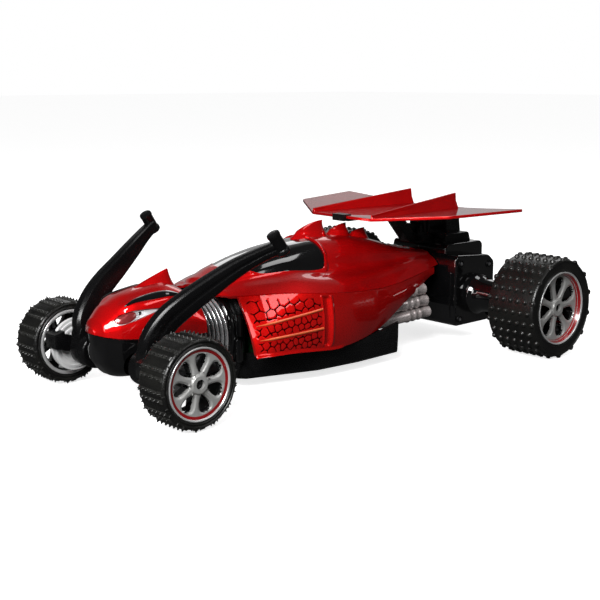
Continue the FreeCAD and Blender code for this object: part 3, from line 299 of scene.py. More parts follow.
# Dark, light, metallic, roughness range, bump, grain, then coat, coat roughness, worn edge and shine
PLASTICS = {
    # Ridges: lighter orange than the body red, a painted highlight for the light caught along the raised
    # bars
    "ridge_orange_painted_highlight": ((0.62, 0.09, 0.025), (0.78, 0.14, 0.04), 0.2, (0.25, 0.35), 0.03, 1800.0, 0.8),
    "black_satin": (DARK_BLACK, BLACK, 0.0, (0.22, 0.32), 0.05, 1500.0, 0.04, 0.08, grey(0.012), 0.26),
    "black_gloss": (DARK_BLACK, BLACK, 0.0, (0.05, 0.10), 0.01, 900.0, 1.0, 0.02),
    "chrome_plate": ((0.56, 0.56, 0.57), (0.72, 0.72, 0.73), 0.75, (0.12, 0.22), 0.03, 900.0),
    "pipe_chrome": ((0.50, 0.44, 0.43), (0.64, 0.58, 0.57), 0.55, (0.22, 0.34), 0.05, 1100.0),
    "rim_silver": ((0.34, 0.34, 0.33), (0.43, 0.43, 0.42), 0.35, (0.28, 0.38), 0.03, 1600.0, 0.3, 0.1),
    "lip_silver": (grey(0.58), grey(0.70), 0.55, (0.16, 0.26), 0.02, 1600.0),
    "ring_red": ((0.17, 0.003, 0.004), (0.26, 0.005, 0.007), 0.1, (0.25, 0.35), 0.02, 1600.0, 0.6),
    "tyre_black": (grey(0.003), (0.008, 0.008, 0.007), 0.0, (0.24, 0.42), 0.22, 1300.0,
                   0.0, 0.04, (0.04, 0.04, 0.037)),
    "reflector": ((0.62, 0.62, 0.64), (0.86, 0.86, 0.88), 0.5, (0.12, 0.25), 0.02, 700.0, 0.5),
    "iris_red": ((0.16, 0.012, 0.014), (0.30, 0.03, 0.032), 0.3, (0.18, 0.28), 0.02, 700.0, 1.0, 0.03),
    "screw_dark": ((0.010, 0.010, 0.011), (0.022, 0.022, 0.023), 0.6, (0.3, 0.45), 0.05, 1600.0),
    "steel": ((0.34, 0.34, 0.35), (0.50, 0.50, 0.51), 1.0, (0.25, 0.4), 0.05, 1600.0),
    "disc_grey": (grey(0.60), grey(0.78), 0.2, (0.35, 0.5), 0.08, 1600.0),
    "grey_bellows": ((0.020, 0.021, 0.021), (0.045, 0.047, 0.046), 0.0, (0.35, 0.5), 0.1, 1400.0),
    "gear_white": ((0.62, 0.60, 0.55), (0.72, 0.70, 0.65), 0.0, (0.35, 0.5), 0.04, 1400.0),
    "board_green": ((0.01, 0.10, 0.03), (0.02, 0.16, 0.05), 0.0, (0.35, 0.5), 0.05, 900.0),
    "cell_wrap": ((0.03, 0.10, 0.05), (0.05, 0.15, 0.07), 0.1, (0.2, 0.35), 0.02, 700.0),
    "motor_can": ((0.38, 0.38, 0.39), grey(0.50), 1.0, (0.28, 0.42), 0.05, 1600.0),
}
MATS = {name: plastic(name, *row) for name, row in PLASTICS.items()}
MATS["body_red"] = candy("body_red", (0.20, 0.001, 0.002), (0.84, 0.004, 0.005))
MATS["scaled_red"] = candy("scaled_red", (0.24, 0.001, 0.002), (0.86, 0.006, 0.005), True)
MATS["lens_clear"] = clear_lens()


# ---- mesh helpers (millimetres in, metres out)
# A shape is a pair of lists, vertices and faces, that tube and lathe add to.

def node_box(node):
    """Low corner, high corner and centre of a CAD node, in millimetres."""
    low, high = [[c / MM for c in corner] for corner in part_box(node)]
    return low, high, [(a + b) / 2 for a, b in zip(low, high)]


def new_object(name, data):
    o = bpy.data.objects.new(name, data)
    bpy.context.scene.collection.objects.link(o)
    return o


def add_piece(name, shape, finish, body, sharp=40.0):
    mesh = bpy.data.meshes.new(name)
    mesh.from_pydata([(x * MM, y * MM, z * MM) for x, y, z in shape[0]], [], shape[1])
    mesh.validate()
    o = new_object(name, mesh)
    mesh.materials.append(MATS[finish])
    clean_mesh(mesh)
    sharpen(o, sharp)
    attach(o, body)
    return o


def clean_mesh(mesh):
    bm = bmesh.new()
    bm.from_mesh(mesh)
    bmesh.ops.remove_doubles(bm, verts=bm.verts, dist=1e-6)
    bmesh.ops.delete(bm, geom=[v for v in bm.verts if not v.link_faces], context="VERTS")
    bmesh.ops.recalc_face_normals(bm, faces=bm.faces)
    bm.to_mesh(mesh)
    bm.free()


def sharpen(o, angle):
    """Smooth shading, with edges above the angle kept sharp."""
    o.data.shade_smooth()
    o.data.set_sharp_from_angle(angle=math.radians(angle))


def bevel(o, width, segments, angle):
    m = o.modifiers.new("bevel", "BEVEL")
    m.width = width * MM
    m.segments = segments
    m.limit_method = "ANGLE"
    m.angle_limit = math.radians(angle)
    m.harden_normals = True


def thicken(o, thickness, axis, sign=1):
    """Thickens a skin inwards; its outer face looks along the signed axis."""
    outward = sum(p.normal[axis] * p.area for p in o.data.polygons) * sign
    m = o.modifiers.new("thickness", "SOLIDIFY")
    m.thickness = thickness * MM
    m.offset = -1.0 if outward > 0 else 1.0


def bake(o):
    """Applies the modifiers so that the mesh itself carries the shape."""
    graph = bpy.context.evaluated_depsgraph_get()
    graph.update()
    old = o.data
    mesh = bpy.data.meshes.new_from_object(o.evaluated_get(graph))
    o.modifiers.clear()
    o.data = mesh
    bpy.data.meshes.remove(old)
    return o


def cut(o, outline, axis, low, high, operation="DIFFERENCE"):
    """Cuts a piece with a prism, or with INTERSECT keeps what lies inside the prism."""
    tool = prism("cutter", outline, axis, (low, high), "steel", "chassis", 0.0)
    m = o.modifiers.new("cut", "BOOLEAN")
    m.operation = operation
    m.solver = "EXACT"
    m.object = tool
    bake(o)
    mesh = tool.data
    bpy.data.objects.remove(tool)
    bpy.data.meshes.remove(mesh)


def grid_faces(rows, cols, wrap_rows=False, wrap_cols=False, start=0):
    faces = []
    for i in range(rows if wrap_rows else rows - 1):
        for j in range(cols if wrap_cols else cols - 1):
            this_row = start + i * cols
            next_row = start + ((i + 1) % rows) * cols
            k = (j + 1) % cols
            faces.append((this_row + j, this_row + k, next_row + k, next_row + j))
    return faces


def turns(steps):
    return [2 * math.pi * k / steps for k in range(steps)]


def tube(rings, shape=None):
    """Closed tube through rings of equal count, capped at both ends."""
    shape = shape or ([], [])
    verts, faces = shape
    start = len(verts)
    count = len(rings[0])
    last = start + (len(rings) - 1) * count
    verts.extend(p for ring in rings for p in ring)
    faces.extend(grid_faces(len(rings), count, False, True, start))
    faces.append(tuple(range(start, start + count)))
    faces.append(tuple(range(last, last + count)))
    return shape


def lathe(profile, steps, place, shape=None):
    """Closed profile of (u, r) points turned about the axis that place gives."""
    shape = shape or ([], [])
    verts, faces = shape
    start = len(verts)
    verts.extend(place(u, r, a) for a in turns(steps) for u, r in profile)
    faces.extend(grid_faces(steps, len(profile), True, True, start))
    return shape


def along_x(z):
    return lambda u, r, a: (u, r * math.cos(a), z + r * math.sin(a))


def along_y(x, z, side=1, start=0.0):
    return lambda u, r, a: (x + r * math.cos(a), start + side * u, z + r * math.sin(a))


def along_z(x, y, z):
    return lambda u, r, a: (x + r * math.cos(a), y + r * math.sin(a), z + u)


def along_line(a, b):
    """Placement on the line between two points, and the line's length."""
    a = Vector(a)
    b = Vector(b)
    d = (b - a).normalized()
    side = d.orthogonal().normalized()
    other = d.cross(side)
    length = (b - a).length
    return (lambda u, r, t: tuple(a + d * u + side * r * math.cos(t) + other * r * math.sin(t))), length


def rod(shape, a, b, radius, steps=14):
    """A round rod with chamfered ends between two points."""
    place, length = along_line(a, b)
    cap = radius * 0.35
    ends = ((0.0, radius - cap), (cap, radius), (length - cap, radius), (length, radius - cap))
    tube([[place(u, r, t) for t in turns(steps)] for u, r in ends], shape)


def catmull(p0, p1, p2, p3, t):
    return tuple(
        0.5 * (2 * b + (c - a) * t + (2 * a - 5 * b + 4 * c - d) * t * t + (3 * b - a - 3 * c + d) * t ** 3)
        for a, b, c, d in zip(p0, p1, p2, p3))


def smooth_path(points, per, closed=False):
    """Smooth curve through a list of equal-length tuples, with per steps for each span."""
    count = len(points)
    out = []
    for i in range(count if closed else count - 1):
        if closed:
            ring = [points[(i + k) % count] for k in (-1, 0, 1, 2)]
        else:
            ring = [points[min(max(i + k, 0), count - 1)] for k in (-1, 0, 1, 2)]
        out.extend(catmull(*ring, k / per) for k in range(per))
    if not closed:
        out.append(tuple(points[-1]))
    return out


def row_at(rows, x):
    """The row of a rib table at station x; the rows run from the highest x to the lowest."""
    for i in range(len(rows) - 1):
        if rows[i][0] >= x >= rows[i + 1][0]:
            break
    else:
        i = 0 if x > rows[0][0] else len(rows) - 2
    t = min(max((rows[i][0] - x) / (rows[i][0] - rows[i + 1][0]), 0.0), 1.0)
    near = [rows[min(max(i + k, 0), len(rows) - 1)] for k in (-1, 0, 1, 2)]
    return (x,) + catmull(*[r[1:] for r in near], t)


def bezier(a, b, c, t):
    return tuple(p * (1 - t) ** 2 + q * 2 * t * (1 - t) + r * t * t for p, q, r in zip(a, b, c))


def rounded(profile, radius, per=3):
    """Rounds the corners of a closed outline of 2-D points."""
    out = []
    count = len(profile)
    for i in range(count):
        p = Vector(profile[i - 1])
        c = Vector(profile[i])
        n = Vector(profile[(i + 1) % count])
        reach = min(radius, (p - c).length * 0.45, (n - c).length * 0.45)
        a = c + (p - c).normalized() * reach
        b = c + (n - c).normalized() * reach
        out.extend(bezier(tuple(a), tuple(c), tuple(b), k / per) for k in range(per + 1))
    return out


def mirrored(half):
    """Adds the mirror image of a half outline in x and y, whose ends may lie on the centre line."""
    return list(half) + [(x, -y) for x, y in reversed(half[1:]) if y > 0]


def span(side, a, b):
    return sorted((side * a, side * b))


def prism(name, outline, axis, ends, finish, body, edge):
    """Extrudes a 2-D outline along an axis; the two ends and edges are bevelled."""
    order = {"x": (2, 0, 1), "y": (0, 2, 1), "z": (0, 1, 2)}[axis]
    rings = [[tuple((u, v, w)[k] for k in order) for u, v in outline] for w in ends]
    o = add_piece(name, tube(rings), finish, body, 35.0)
    if edge > 0:
        bevel(o, edge, 2, 25.0)
    return o


def smoothstep(low, high, x):
    t = min(max((x - low) / (high - low), 0.0), 1.0)
    return t * t * (3 - 2 * t)


def full_rib(half):
    return half + [(-y, z) for y, z in reversed(half[:-1])]


def rib_line(ribs, half, x, per):
    """Whole section of a moulded shell at station x, from the left edge over to the right one."""
    return smooth_path(full_rib(half(row_at(ribs, x))), per)


def stations(ribs, per):
    return [r[0] for r in smooth_path([(r[0],) for r in ribs], per)]


def height_on(line, y):
    """Height of a section line at a width."""
    for (ya, za), (yb, zb) in zip(line, line[1:]):
        if ya >= y >= yb:
            return za + (zb - za) * (ya - y) / max(ya - yb, 1e-6)
    return line[0][1]


def skin(name, lines, finish, body, sign=1, nose=False):
    """Moulded skin through section lines, thickened inwards; nose closes the first line."""
    cols = len(lines[0])
    faces = grid_faces(len(lines), cols)
    if nose:
        faces.append(tuple(range(cols)))
    o = add_piece(name, ([p for line in lines for p in line], faces), finish, body)
    thicken(o, SKIN, 2, sign)
    return bake(o)


# ---- wheels

def wheel_place(node, side):
    """Placement of a wheel from its tyre's box, with u running outwards from the inner face."""
    low, high, centre = node_box(node)
    place = along_y(centre[0], centre[2], side, low[1] if side > 0 else high[1])
    return place, high[1] - low[1], (high[2] - low[2]) / 2


def knob(shape, place, u, a, crown, height, foot, tip, sides=8):
    """One tread stud: tapered, with a rounded top, standing out of the tread."""
    levels = (
        (foot * 1.2, -0.3), (foot, 0.2), (tip * 1.1, height * 0.55),
        (tip * 0.93, height * 0.8), (tip * 0.62, height * 0.95), (tip * 0.2, height),
    )
    tube([[place(u + r * math.cos(t), crown + lift, a + r * math.sin(t) / crown) for t in turns(sides)]
          for r, lift in levels], shape)


def tread_bar(shape, place, u0, u1, a, crown):
    """A low raised bar across the tread that a row of studs stands on."""
    half_angle = 0.050
    rings = []
    for u in (u0, u0 + 0.5, u1 - 0.5, u1):
        h = 0.0 if u in (u0, u1) else 0.45
        rings.append([place(u, crown + rise, a + half_angle * share)
                      for share, rise in ((-1.0, -0.4), (-0.8, h), (0.8, h), (1.0, -0.4))])
    tube(rings, shape)


def front_studs(shape, place, width, crown):
    """Pairs of raised bars with small pointed studs, and side lugs between the bars."""
    rows = 26
    shares = ((0.10, 0.26, 0.42, 0.58, 0.74, 0.90), (0.18, 0.34, 0.50, 0.66, 0.82))
    for k in range(rows):
        a = 2 * math.pi * (k + (-0.12, 0.12)[k % 2]) / rows
        tread_bar(shape, place, 1.6, width - 1.6, a, crown)
        for share in shares[k % 2]:
            knob(shape, place, width * share, a, crown + 0.35, STUD - 0.35, 0.95, 0.48)
        for u in (0.55, width - 0.55):
            knob(shape, place, u, a + math.pi / rows, crown - 1.3, STUD * 0.8, 0.7, 0.4)


def rear_studs(shape, place, width, crown):
    """Staggered rows of round-headed studs over the whole tread."""
    shares = (
        (0.112, 0.267, 0.422, 0.578, 0.733, 0.888),
        (0.035, 0.190, 0.345, 0.500, 0.655, 0.810, 0.965),
    )
    for k, a in enumerate(turns(28)):
        for share in shares[k % 2]:
            sink = 0.1 if 0.05 <= share <= 0.95 else 0.75
            knob(shape, place, width * share, a, crown - sink, STUD, 2.1, 1.6, 12)


def tyre(prefix, side, body, lip, studs):
    """Solid ring of rubber with rounded shoulders and a raised sidewall line, and its tread studs."""
    node = prefix + "_tyre"
    place, width, radius = wheel_place(node, side)
    crown = radius - STUD
    outline = rounded([
        (2.6, lip - 0.1), (4.2, lip - BEAD + 0.1), (width - 3.8, lip - BEAD + 0.1),
        (width - 2.2, lip + 0.15), (width - 0.8, lip + 0.4), (width - 0.2, lip + 1.3),
        (width - 0.9, lip + 2.0),
        (width - 0.9, crown - 2.7), (width - 0.1, crown - 2.2), (width - 0.3, crown - 1.2),
        (width - 1.6, crown - 0.35), (width * 0.75, crown), (width * 0.25, crown), (1.6, crown - 0.35),
        (0.3, crown - 1.2), (0.1, crown - 2.2), (0.9, crown - 2.7),
        (0.9, lip + 2.0), (0.2, lip + 1.3), (0.8, lip + 0.4),
    ], 0.6, 2)
    shape = lathe(outline, 144, place)
    studs(shape, place, width, crown)
    o = add_piece(node + "_knobbed", shape, "tyre_black", body)
    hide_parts(node)


def hole_depth(x, z, inner, outer, fat):
    """Below zero inside a drop-shaped spoke hole, above zero outside, about in millimetres."""
    step = 2 * math.pi / SPOKES
    a = math.atan2(z, x) - SPOKE_PHASE
    a -= step * math.floor(a / step) + step / 2
    r = math.hypot(x, z)
    along = r * math.cos(a)
    across = abs(r * math.sin(a))
    t = (along - inner) / (outer - inner)
    if 0.0 < t < 1.0:
        return across - fat * math.sqrt(t * (1 - t)) * (0.42 + 0.95 * t)
    return max(inner - along, along - outer, 0.0) + across * 0.5 + 0.02


def spoke_grid(inner_r, outer_r, hole):
    """Flat ring of quads with the spoke holes left out and their edges drawn smooth."""
    rings = 46
    steps = SPOKES * 40
    pts = []
    for i in range(rings):
        r = inner_r + (outer_r - inner_r) * i / (rings - 1)
        pts.extend([r * math.cos(a), r * math.sin(a)] for a in turns(steps))
    value = [hole_depth(x, z, *hole) for x, z in pts]
    faces = [f for f in grid_faces(rings, steps, False, True) if max(value[v] for v in f) > 0]
    for v in {v for f in faces for v in f}:
        if value[v] < 0.0:
            slide_out(pts[v], hole)
    return pts, faces


def slide_out(p, hole):
    """Moves a point that fell inside a hole back to the hole's edge."""
    e = 0.02
    for _ in range(14):
        f = hole_depth(p[0], p[1], *hole)
        if f > -0.002:
            return
        gx = (hole_depth(p[0] + e, p[1], *hole) - f) / e
        gz = (hole_depth(p[0], p[1] + e, *hole) - f) / e
        g = math.hypot(gx, gz) + 1e-6
        move = min(0.4, -f / g)
        p[0] += gx / g * move
        p[1] += gz / g * move


def spoke_face(name, place, side, body, plane, boss_r, outer_r):
    """Domed spokes round a raised hub boss."""
    hole = (boss_r + 0.9, outer_r - 1.3, outer_r * 0.43)
    pts, faces = spoke_grid(3.3, outer_r, hole)
    verts = []
    for x, z in pts:
        r = math.hypot(x, z)
        raised = smoothstep(boss_r + 0.5, boss_r - 0.6, r) if r < boss_r + 0.5 else 0.0
        crest = 0.9 * smoothstep(0.0, 1.6, hole_depth(x, z, *hole)) if r < hole[1] else 0.9
        verts.append(place(plane + crest + 1.4 * raised, r, math.atan2(z, x)))
    o = add_piece(name, (verts, faces), "rim_silver", body, 50.0)
    thicken(o, 2.4, 1, side)
    bevel(o, 0.25, 2, 60.0)


def rim(prefix, ring_node, side, body, lip, dish):
    """Rim barrel with a bright lip, a painted spoke face, a red ring and a deep hub."""
    place, width, _ = wheel_place(prefix + "_tyre", side)
    well = lip - BEAD
    seat = width - dish
    barrel = rounded([
        (1.0, lip - 0.3), (1.0, lip - 2.0), (3.2, well - 1.4), (seat - 2.0, well - 1.4),
        (seat - 2.0, well - 3.5), (seat - 0.6, well - 3.5), (seat - 0.6, well - 0.3),
        (width - 3.8, well - 0.1), (4.2, well - 0.1), (2.6, lip - 0.3),
    ], 0.3, 2)
    shape = lathe(barrel, 96, place)
    hub = rounded([(2.0, 2.75), (2.0, 5.2), (seat - 1.0, 6.2), (seat - 1.0, 2.75)], 0.4, 2)
    lathe(hub, 48, place, shape)
    for a in turns(SPOKES):
        spoke_rib(shape, place, SPOKE_PHASE + a, well - 1.0, seat)
    drum = add_piece(prefix + "_rim_barrel", shape, "black_gloss", body)
    shape = lathe(rounded([
        (width - 2.4, lip - 1.7), (width - 0.9, lip - 1.5), (width - 0.3, lip - 0.8),
        (width - 0.5, lip - 0.1), (width - 2.2, lip - 0.05), (width - 3.7, well), (width - 3.7, well - 0.5),
    ], 0.35, 3), 128, place)
    inner_lip = [(0.9, lip - 0.2), (0.5, lip - 1.3), (0.9, lip - 2.7), (2.6, lip - 3.1), (2.7, lip - 0.3)]
    lathe(rounded(inner_lip, 0.4, 3), 128, place, shape)
    add_piece(prefix + "_rim_lip", shape, "lip_silver", body)
    spoke_face(prefix + "_rim_spokes", place, side, body, seat + 0.6, 5.6 + dish * 0.2, well - 0.5)
    band = [
        (seat + 0.4, well - 0.9), (seat + 1.55, well - 0.9), (width - 1.35, lip - 1.6),
        (width - 1.75, lip - 1.5), (seat + 0.4, well - 0.2),
    ]
    ring = add_piece(prefix + "_red_ring", lathe(band, 128, place), "ring_red", body)
    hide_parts(prefix + "_rim")
    if ring_node:
        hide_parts(ring_node)


def spoke_rib(shape, place, a, outer_r, seat):
    """A thin stiffening rib behind a spoke, from the hub tube to the barrel."""
    half = 0.9
    corners = ((seat - 9.0, -1), (seat - 0.8, -1), (seat - 0.8, 1), (seat - 9.0, 1))
    tube([[place(u, math.hypot(r, s * half), a + math.atan2(s * half, r)) for u, s in corners]
          for r in (5.0, outer_r)], shape)


def build_wheels():
    for side, label in SIDES:
        front = label + "_front"
        front_body = "front_" + label + "_wheel"
        tyre(front, side, front_body, FRONT_LIP, front_studs)
        rim(front, front + "_rim_ring", side, front_body, FRONT_LIP, FRONT_DISH)
        rear = label + "_rear"
        tyre(rear, side, "rear_wheels", REAR_LIP, rear_studs)
        rim(rear, "rear_rim_rings" if side > 0 else None, side, "rear_wheels", REAR_LIP, REAR_DISH)


# ---- upper body

def body_half(row):
    """Left half of a body rib as (y, z), from the shoulder up to the roof line."""
    _, w, sh, cw, cz, top = row
    return [
        (w, sh), ((w + cw) / 2 + 1, sh + (cz - sh) * 0.55), (cw, cz),
        (cw * 0.83, cz + (top - cz) * 0.5), (cw * 0.45, cz + (top - cz) * 0.9), (0.0, top),
    ]


def body_z(x, y):
    """Height of the upper shell at a point in plan."""
    return height_on(rib_line(BODY_RIBS, body_half, x, 6), y)


def crease(x, y):
    """Swept crease that climbs from the shoulder to the tail on each flank."""
    if x > 30.0 or x < -128.0:
        return 0.0
    t = (30.0 - x) / 158.0
    d = abs(y) - row_at(BODY_RIBS, x)[1] * (0.98 - 0.30 * t)
    fade = smoothstep(0.0, 0.25, t) * smoothstep(1.0, 0.7, t)
    return 1.5 * fade * math.exp(-(d / (1.4 if d > 0 else 6.0)) ** 2)


def body_surface(name, finish, lift=0.0):
    lines = []
    for x in stations(BODY_RIBS, 9):
        line = rib_line(BODY_RIBS, body_half, x, 9)
        lines.append([(x, y, z + lift + crease(x, y)) for y, z in line])
    return skin(name, lines, finish, "chassis")


def grown(outline, amount):
    """Moves each point of a closed outline outwards."""
    count = len(outline)
    pairs = [(outline[i], outline[(i + 1) % count]) for i in range(count)]
    area = sum(a[0] * b[1] - b[0] * a[1] for a, b in pairs)
    sign = 1.0 if area > 0 else -1.0
    out = []
    for i, (here, ahead) in enumerate(pairs):
        dx = ahead[0] - outline[i - 1][0]
        dy = ahead[1] - outline[i - 1][1]
        length = math.hypot(dx, dy) or 1.0
        out.append((here[0] + sign * dy / length * amount, here[1] - sign * dx / length * amount))
    return out


def build_body():
    plan = smooth_path(mirrored(CANOPY_HALF), 7, True)
    shell = body_surface("body_shell_skin", "body_red")
    glass = body_surface("canopy_glass", "black_gloss", -0.5)
    cut(shell, plan, "z", 66.0, 120.0)
    cut(glass, grown(plan, -0.35), "z", 66.0, 120.0, "INTERSECT")
    cut(shell, [(-119, -12), (-79, -12), (-79, 12), (-119, 12)], "z", 60.0, 110.0)
    sharpen(shell, 38.0)
    sharpen(glass, 38.0)
    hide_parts("body_shell")
    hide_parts("canopy")
    canopy_rim(plan)
    for index, (foot, bulge, tip, hollow, heel, half) in enumerate(THORNS):
        name = "rear_thorn_" + str(index + 1)
        back = (tip[0] - 0.6, tip[1] - 0.3)
        fin(name, "chassis", (foot, bulge, tip), (heel, hollow, back), half, body_z)


def canopy_rim(plan):
    """Raised rolled rim round the canopy, tall over the rear arch and low along the sides."""
    rings = []
    for (x, y), (ox, oy) in zip(plan, grown(plan, 1.0)):
        rear = smoothstep(24.0, 4.0, x)
        tall = 0.25 + 0.95 * rear
        wide = 0.9 + 2.2 * rear
        section = []
        for out, up in ((-0.1, -1.6), (-0.15, tall * 0.8), (0.25, tall), (0.8, tall * 1.02),
                        (wide * 0.5, tall * 0.7), (wide, -0.1), (wide, -1.2)):
            px = x + (ox - x) * out
            py = y + (oy - y) * out
            section.append((px, py, body_z(px, py) + up))
        rings.append(section)
    faces = grid_faces(len(rings), len(rings[0]), True, True)
    add_piece("canopy_rim", ([p for ring in rings for p in ring], faces), "body_red", "chassis", 45.0)


def fin(name, body, front, rear, half_width, base_z):
    """Thorn-shaped fin: curved leading edge, hollow rear edge, flared base."""
    levels = 16
    rings = []
    for i in range(levels + 1):
        t = i / levels
        fx, fz = bezier(*front, t)
        rx, rz = bezier(*rear, t)
        thick = half_width * (1 - t) ** 1.5 + 0.45 * (1 - t * 0.6)
        ring = []
        for a in turns(28):
            s = (1 + math.cos(a)) / 2
            x = rx + (fx - rx) * s
            z = rz + (fz - rz) * s
            y = thick * math.sin(a) * (0.45 + 0.75 * (1 - s) if s < 0.5 else 0.825 - 0.35 * (s - 0.5))
            if i == 0:
                z = base_z(x, y) - 1.2
            elif i < 4:
                z = z * (i / 4) + (base_z(x, y) + 0.6 * t) * (1 - i / 4)
            ring.append((x, y, z))
        rings.append(ring)
    add_piece(name, tube(rings), "body_red", body, 50.0)


def build_engine():
    """Dark engine bed in the bay behind the thorns, with a double row of plated domes and three rails."""
    low, high, _ = node_box("engine_trim")
    x0 = low[0]
    x1 = high[0]
    dome = [
        (-7.0, 0.01), (-7.0, 3.4), (-0.2, 3.4), (0.2, 2.6), (0.7, 2.6), (1.0, 3.1), (2.3, 2.9), (3.3, 2.0),
        (3.7, 0.9), (3.8, 0.01),
    ]
    shape = ([], [])
    for i in range(5):
        for y in (-6.2, 6.2):
            lathe(dome, 20, along_z(x1 - 5.0 - 7.6 * i, y, 83.6 - 1.65 * i), shape)
    add_piece("engine_domes", shape, "chrome_plate", "chassis")
    outline = [(x0 + 0.2, 67.5), (x1 - 0.2, 67.5), (x1 - 0.2, 82.5), (x0 + 0.2, 75.0)]
    bed = prism("engine_bed", outline, "y", (-11.6, 11.6), "black_satin", "chassis", 0.5)
    shape = ([], [])
    for y in (-10.3, 0.0, 10.3):
        rod(shape, (x1 - 1.0, y, 83.2), (x0 + 1.5, y, 75.6), 0.9)
    add_piece("engine_rails", shape, "chrome_plate", "chassis")
    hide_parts("engine_trim")


# ---- side pods

def pod_point(row, v):
    """Outer face of a pod rib; v runs from 0 at the bottom edge to 1 at the top edge."""
    _, ty, tz, by, bz = row
    my = (ty + by) / 2 + (tz - bz) * 0.06
    y = by * (1 - v) ** 2 + (2 * my - (ty + by) / 2) * 2 * v * (1 - v) + ty * v * v
    return y, bz + (tz - bz) * v


def scale_seeds():
    """Centres of the moulded scales: long tiles in the top band, rounder cells below."""
    rng = random.Random(11)
    seeds = []
    z = 22.0
    row = 0
    while z < 74.0:
        pitch, step, wobble = (7.6, 7.4, 0.6) if z > 55.0 else (5.4, 4.6, 1.25)
        x = 30.0 + (row % 2) * pitch / 2
        while x < 94.0:
            lean = (x - 60.0) * -0.14
            seeds.append((x + rng.uniform(-wobble, wobble), z + lean + rng.uniform(-wobble, wobble) * 0.8))
            x += pitch
        z += step
        row += 1
    return seeds


def scale_gap(x, z, seeds):
    """About the distance from a point to the nearest line between two scales."""
    best = second = 1e9
    for sx, sz in seeds:
        d = (x - sx) ** 2 + (z - sz) ** 2
        if d < best:
            best, second = d, best
        elif d < second:
            second = d
    return (math.sqrt(second) - math.sqrt(best)) / 2


def ridge_lines(x):
    """Heights of the two diagonal ridges at station x."""
    t = (PANEL_FRONT - x) / 54.0
    return 40.5 + 2.1 * t, 50.1 + 6.4 * t


def pod_detail(x, z, v, seeds):
    """Gap to the nearest scale line, and how far the skin moves out at this point."""
    push = 0.0
    gap = NO_LINE
    if PANEL_REAR - 1.0 < x < PANEL_FRONT + 3.0 and 0.04 < v < 0.95:
        inside = (smoothstep(PANEL_REAR - 1.0, PANEL_REAR + 1.0, x)
                  * smoothstep(PANEL_FRONT + 3.0, PANEL_FRONT, x)
                  * smoothstep(0.04, 0.08, v) * smoothstep(0.95, 0.90, v))
        if min(abs(z - line) for line in ridge_lines(x)) >= 1.5:
            gap = scale_gap(x, z, seeds)
        if gap < 8:
            push += inside * (0.10 * smoothstep(0.25, 0.75, gap) - 0.10)
        if inside < 0.5:
            gap = NO_LINE
    if GROOVE_REAR - 4.0 < x < GROOVE_FRONT + 2.5 and 0.05 < v < 0.97:
        lip = smoothstep(0.05, 0.15, v)
        push -= (2.2 * smoothstep(GROOVE_REAR - 0.6, GROOVE_REAR + 1.2, x)
                 * smoothstep(GROOVE_FRONT + 0.8, GROOVE_FRONT - 1.2, x)
                 * smoothstep(0.05, 0.12, v) * smoothstep(0.97, 0.90, v))
        push += 0.9 * math.exp(-((x - GROOVE_REAR + 1.6) / 1.2) ** 2) * lip
        push += 0.5 * math.exp(-((x - GROOVE_FRONT - 1.0) / 0.8) ** 2) * lip
    if v < 0.05 and 12.0 < x < 93.0:
        push += 1.1 * smoothstep(0.05, 0.0, v)
    return gap, push


def build_pods():
    seeds = scale_seeds()
    rear_end = POD_RIBS[-1][0]
    places = []
    x = POD_RIBS[0][0]
    while x > rear_end:
        places.append(x)
        x -= 0.62 if x > 20.0 else 3.0
    places.append(rear_end)
    rows = 76
    for side, label in SIDES:
        verts = []
        gaps = []
        for x in places:
            row = row_at(POD_RIBS, x)
            for j in range(rows):
                v = j / (rows - 1)
                y, z = pod_point(row, v)
                gap, push = pod_detail(x, z, v, seeds)
                verts.append((x, side * (y + push), z))
                gaps.append(gap)
        shape = (verts, grid_faces(len(places), rows))
        o = add_piece(label + "_pod_skin", shape, "scaled_red", "chassis", 50.0)
        store_gaps(o, verts, gaps)
        thicken(o, POD_WALL, 1, side)
        bake(o)
        sharpen(o, 40.0)
        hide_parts(label + "_side_pod")
        build_ridges(side, label)


def store_gaps(o, verts, gaps):
    """Keeps each point's gap on the mesh, for the ink in the scale lines; found again by its place."""
    layer = o.data.attributes.new("scale_gap", "FLOAT", "POINT")
    table = {tuple(round(c * 1e3) for c in spot): gap for spot, gap in zip(verts, gaps)}
    for i, v in enumerate(o.data.vertices):
        layer.data[i].value = table.get(tuple(round(c * 1e6) for c in v.co), NO_LINE)


def build_ridges(side, label):
    """Two raised diagonal ridges with pointed front ends across the scaled panel; their lighter orange
    colour is a painted highlight along the raised bars.
    """
    steps = 40
    for index in (0, 1):
        rings = []
        for i in range(steps + 1):
            t = i / steps
            x = PANEL_FRONT - 53.5 * t
            z = ridge_lines(x)[index]
            row = row_at(POD_RIBS, x)
            y = pod_point(row, (z - row[4]) / (row[2] - row[4]))[0]
            size = 0.2 + 0.6 * smoothstep(0.0, 0.18, t)
            rings.append([(x, side * (y + 0.1 + size * 1.1 * math.cos(a)), z + size * 1.15 * math.sin(a))
                          for a in turns(10)])
        # The ridges' finish is a painted highlight: lighter orange than the body red they are moulded in.
        add_piece(label + "_pod_ridge_" + str(index + 1), tube(rings), "ridge_orange_painted_highlight", "chassis", 50.0)


# ---- head

def head_half(row):
    """Left half of a head rib as (y, z), from the seam up to the crown."""
    _, w, seam, top = row
    rise = top - seam
    return [
        (w, seam), (w * 0.96, seam + rise * 0.36), (w * 0.76, seam + rise * 0.72),
        (w * 0.40, seam + rise * 0.94), (0.0, top),
    ]


def jaw_half(row):
    """Left half of a jaw rib as (y, z), from the seam down to the chin."""
    _, w, seam, chin = row
    fall = seam - chin
    return [
        (w, seam), (w * 0.97, seam - fall * 0.45), (w * 0.80, seam - fall * 0.82),
        (w * 0.40, chin + fall * 0.02), (0.0, chin),
    ]


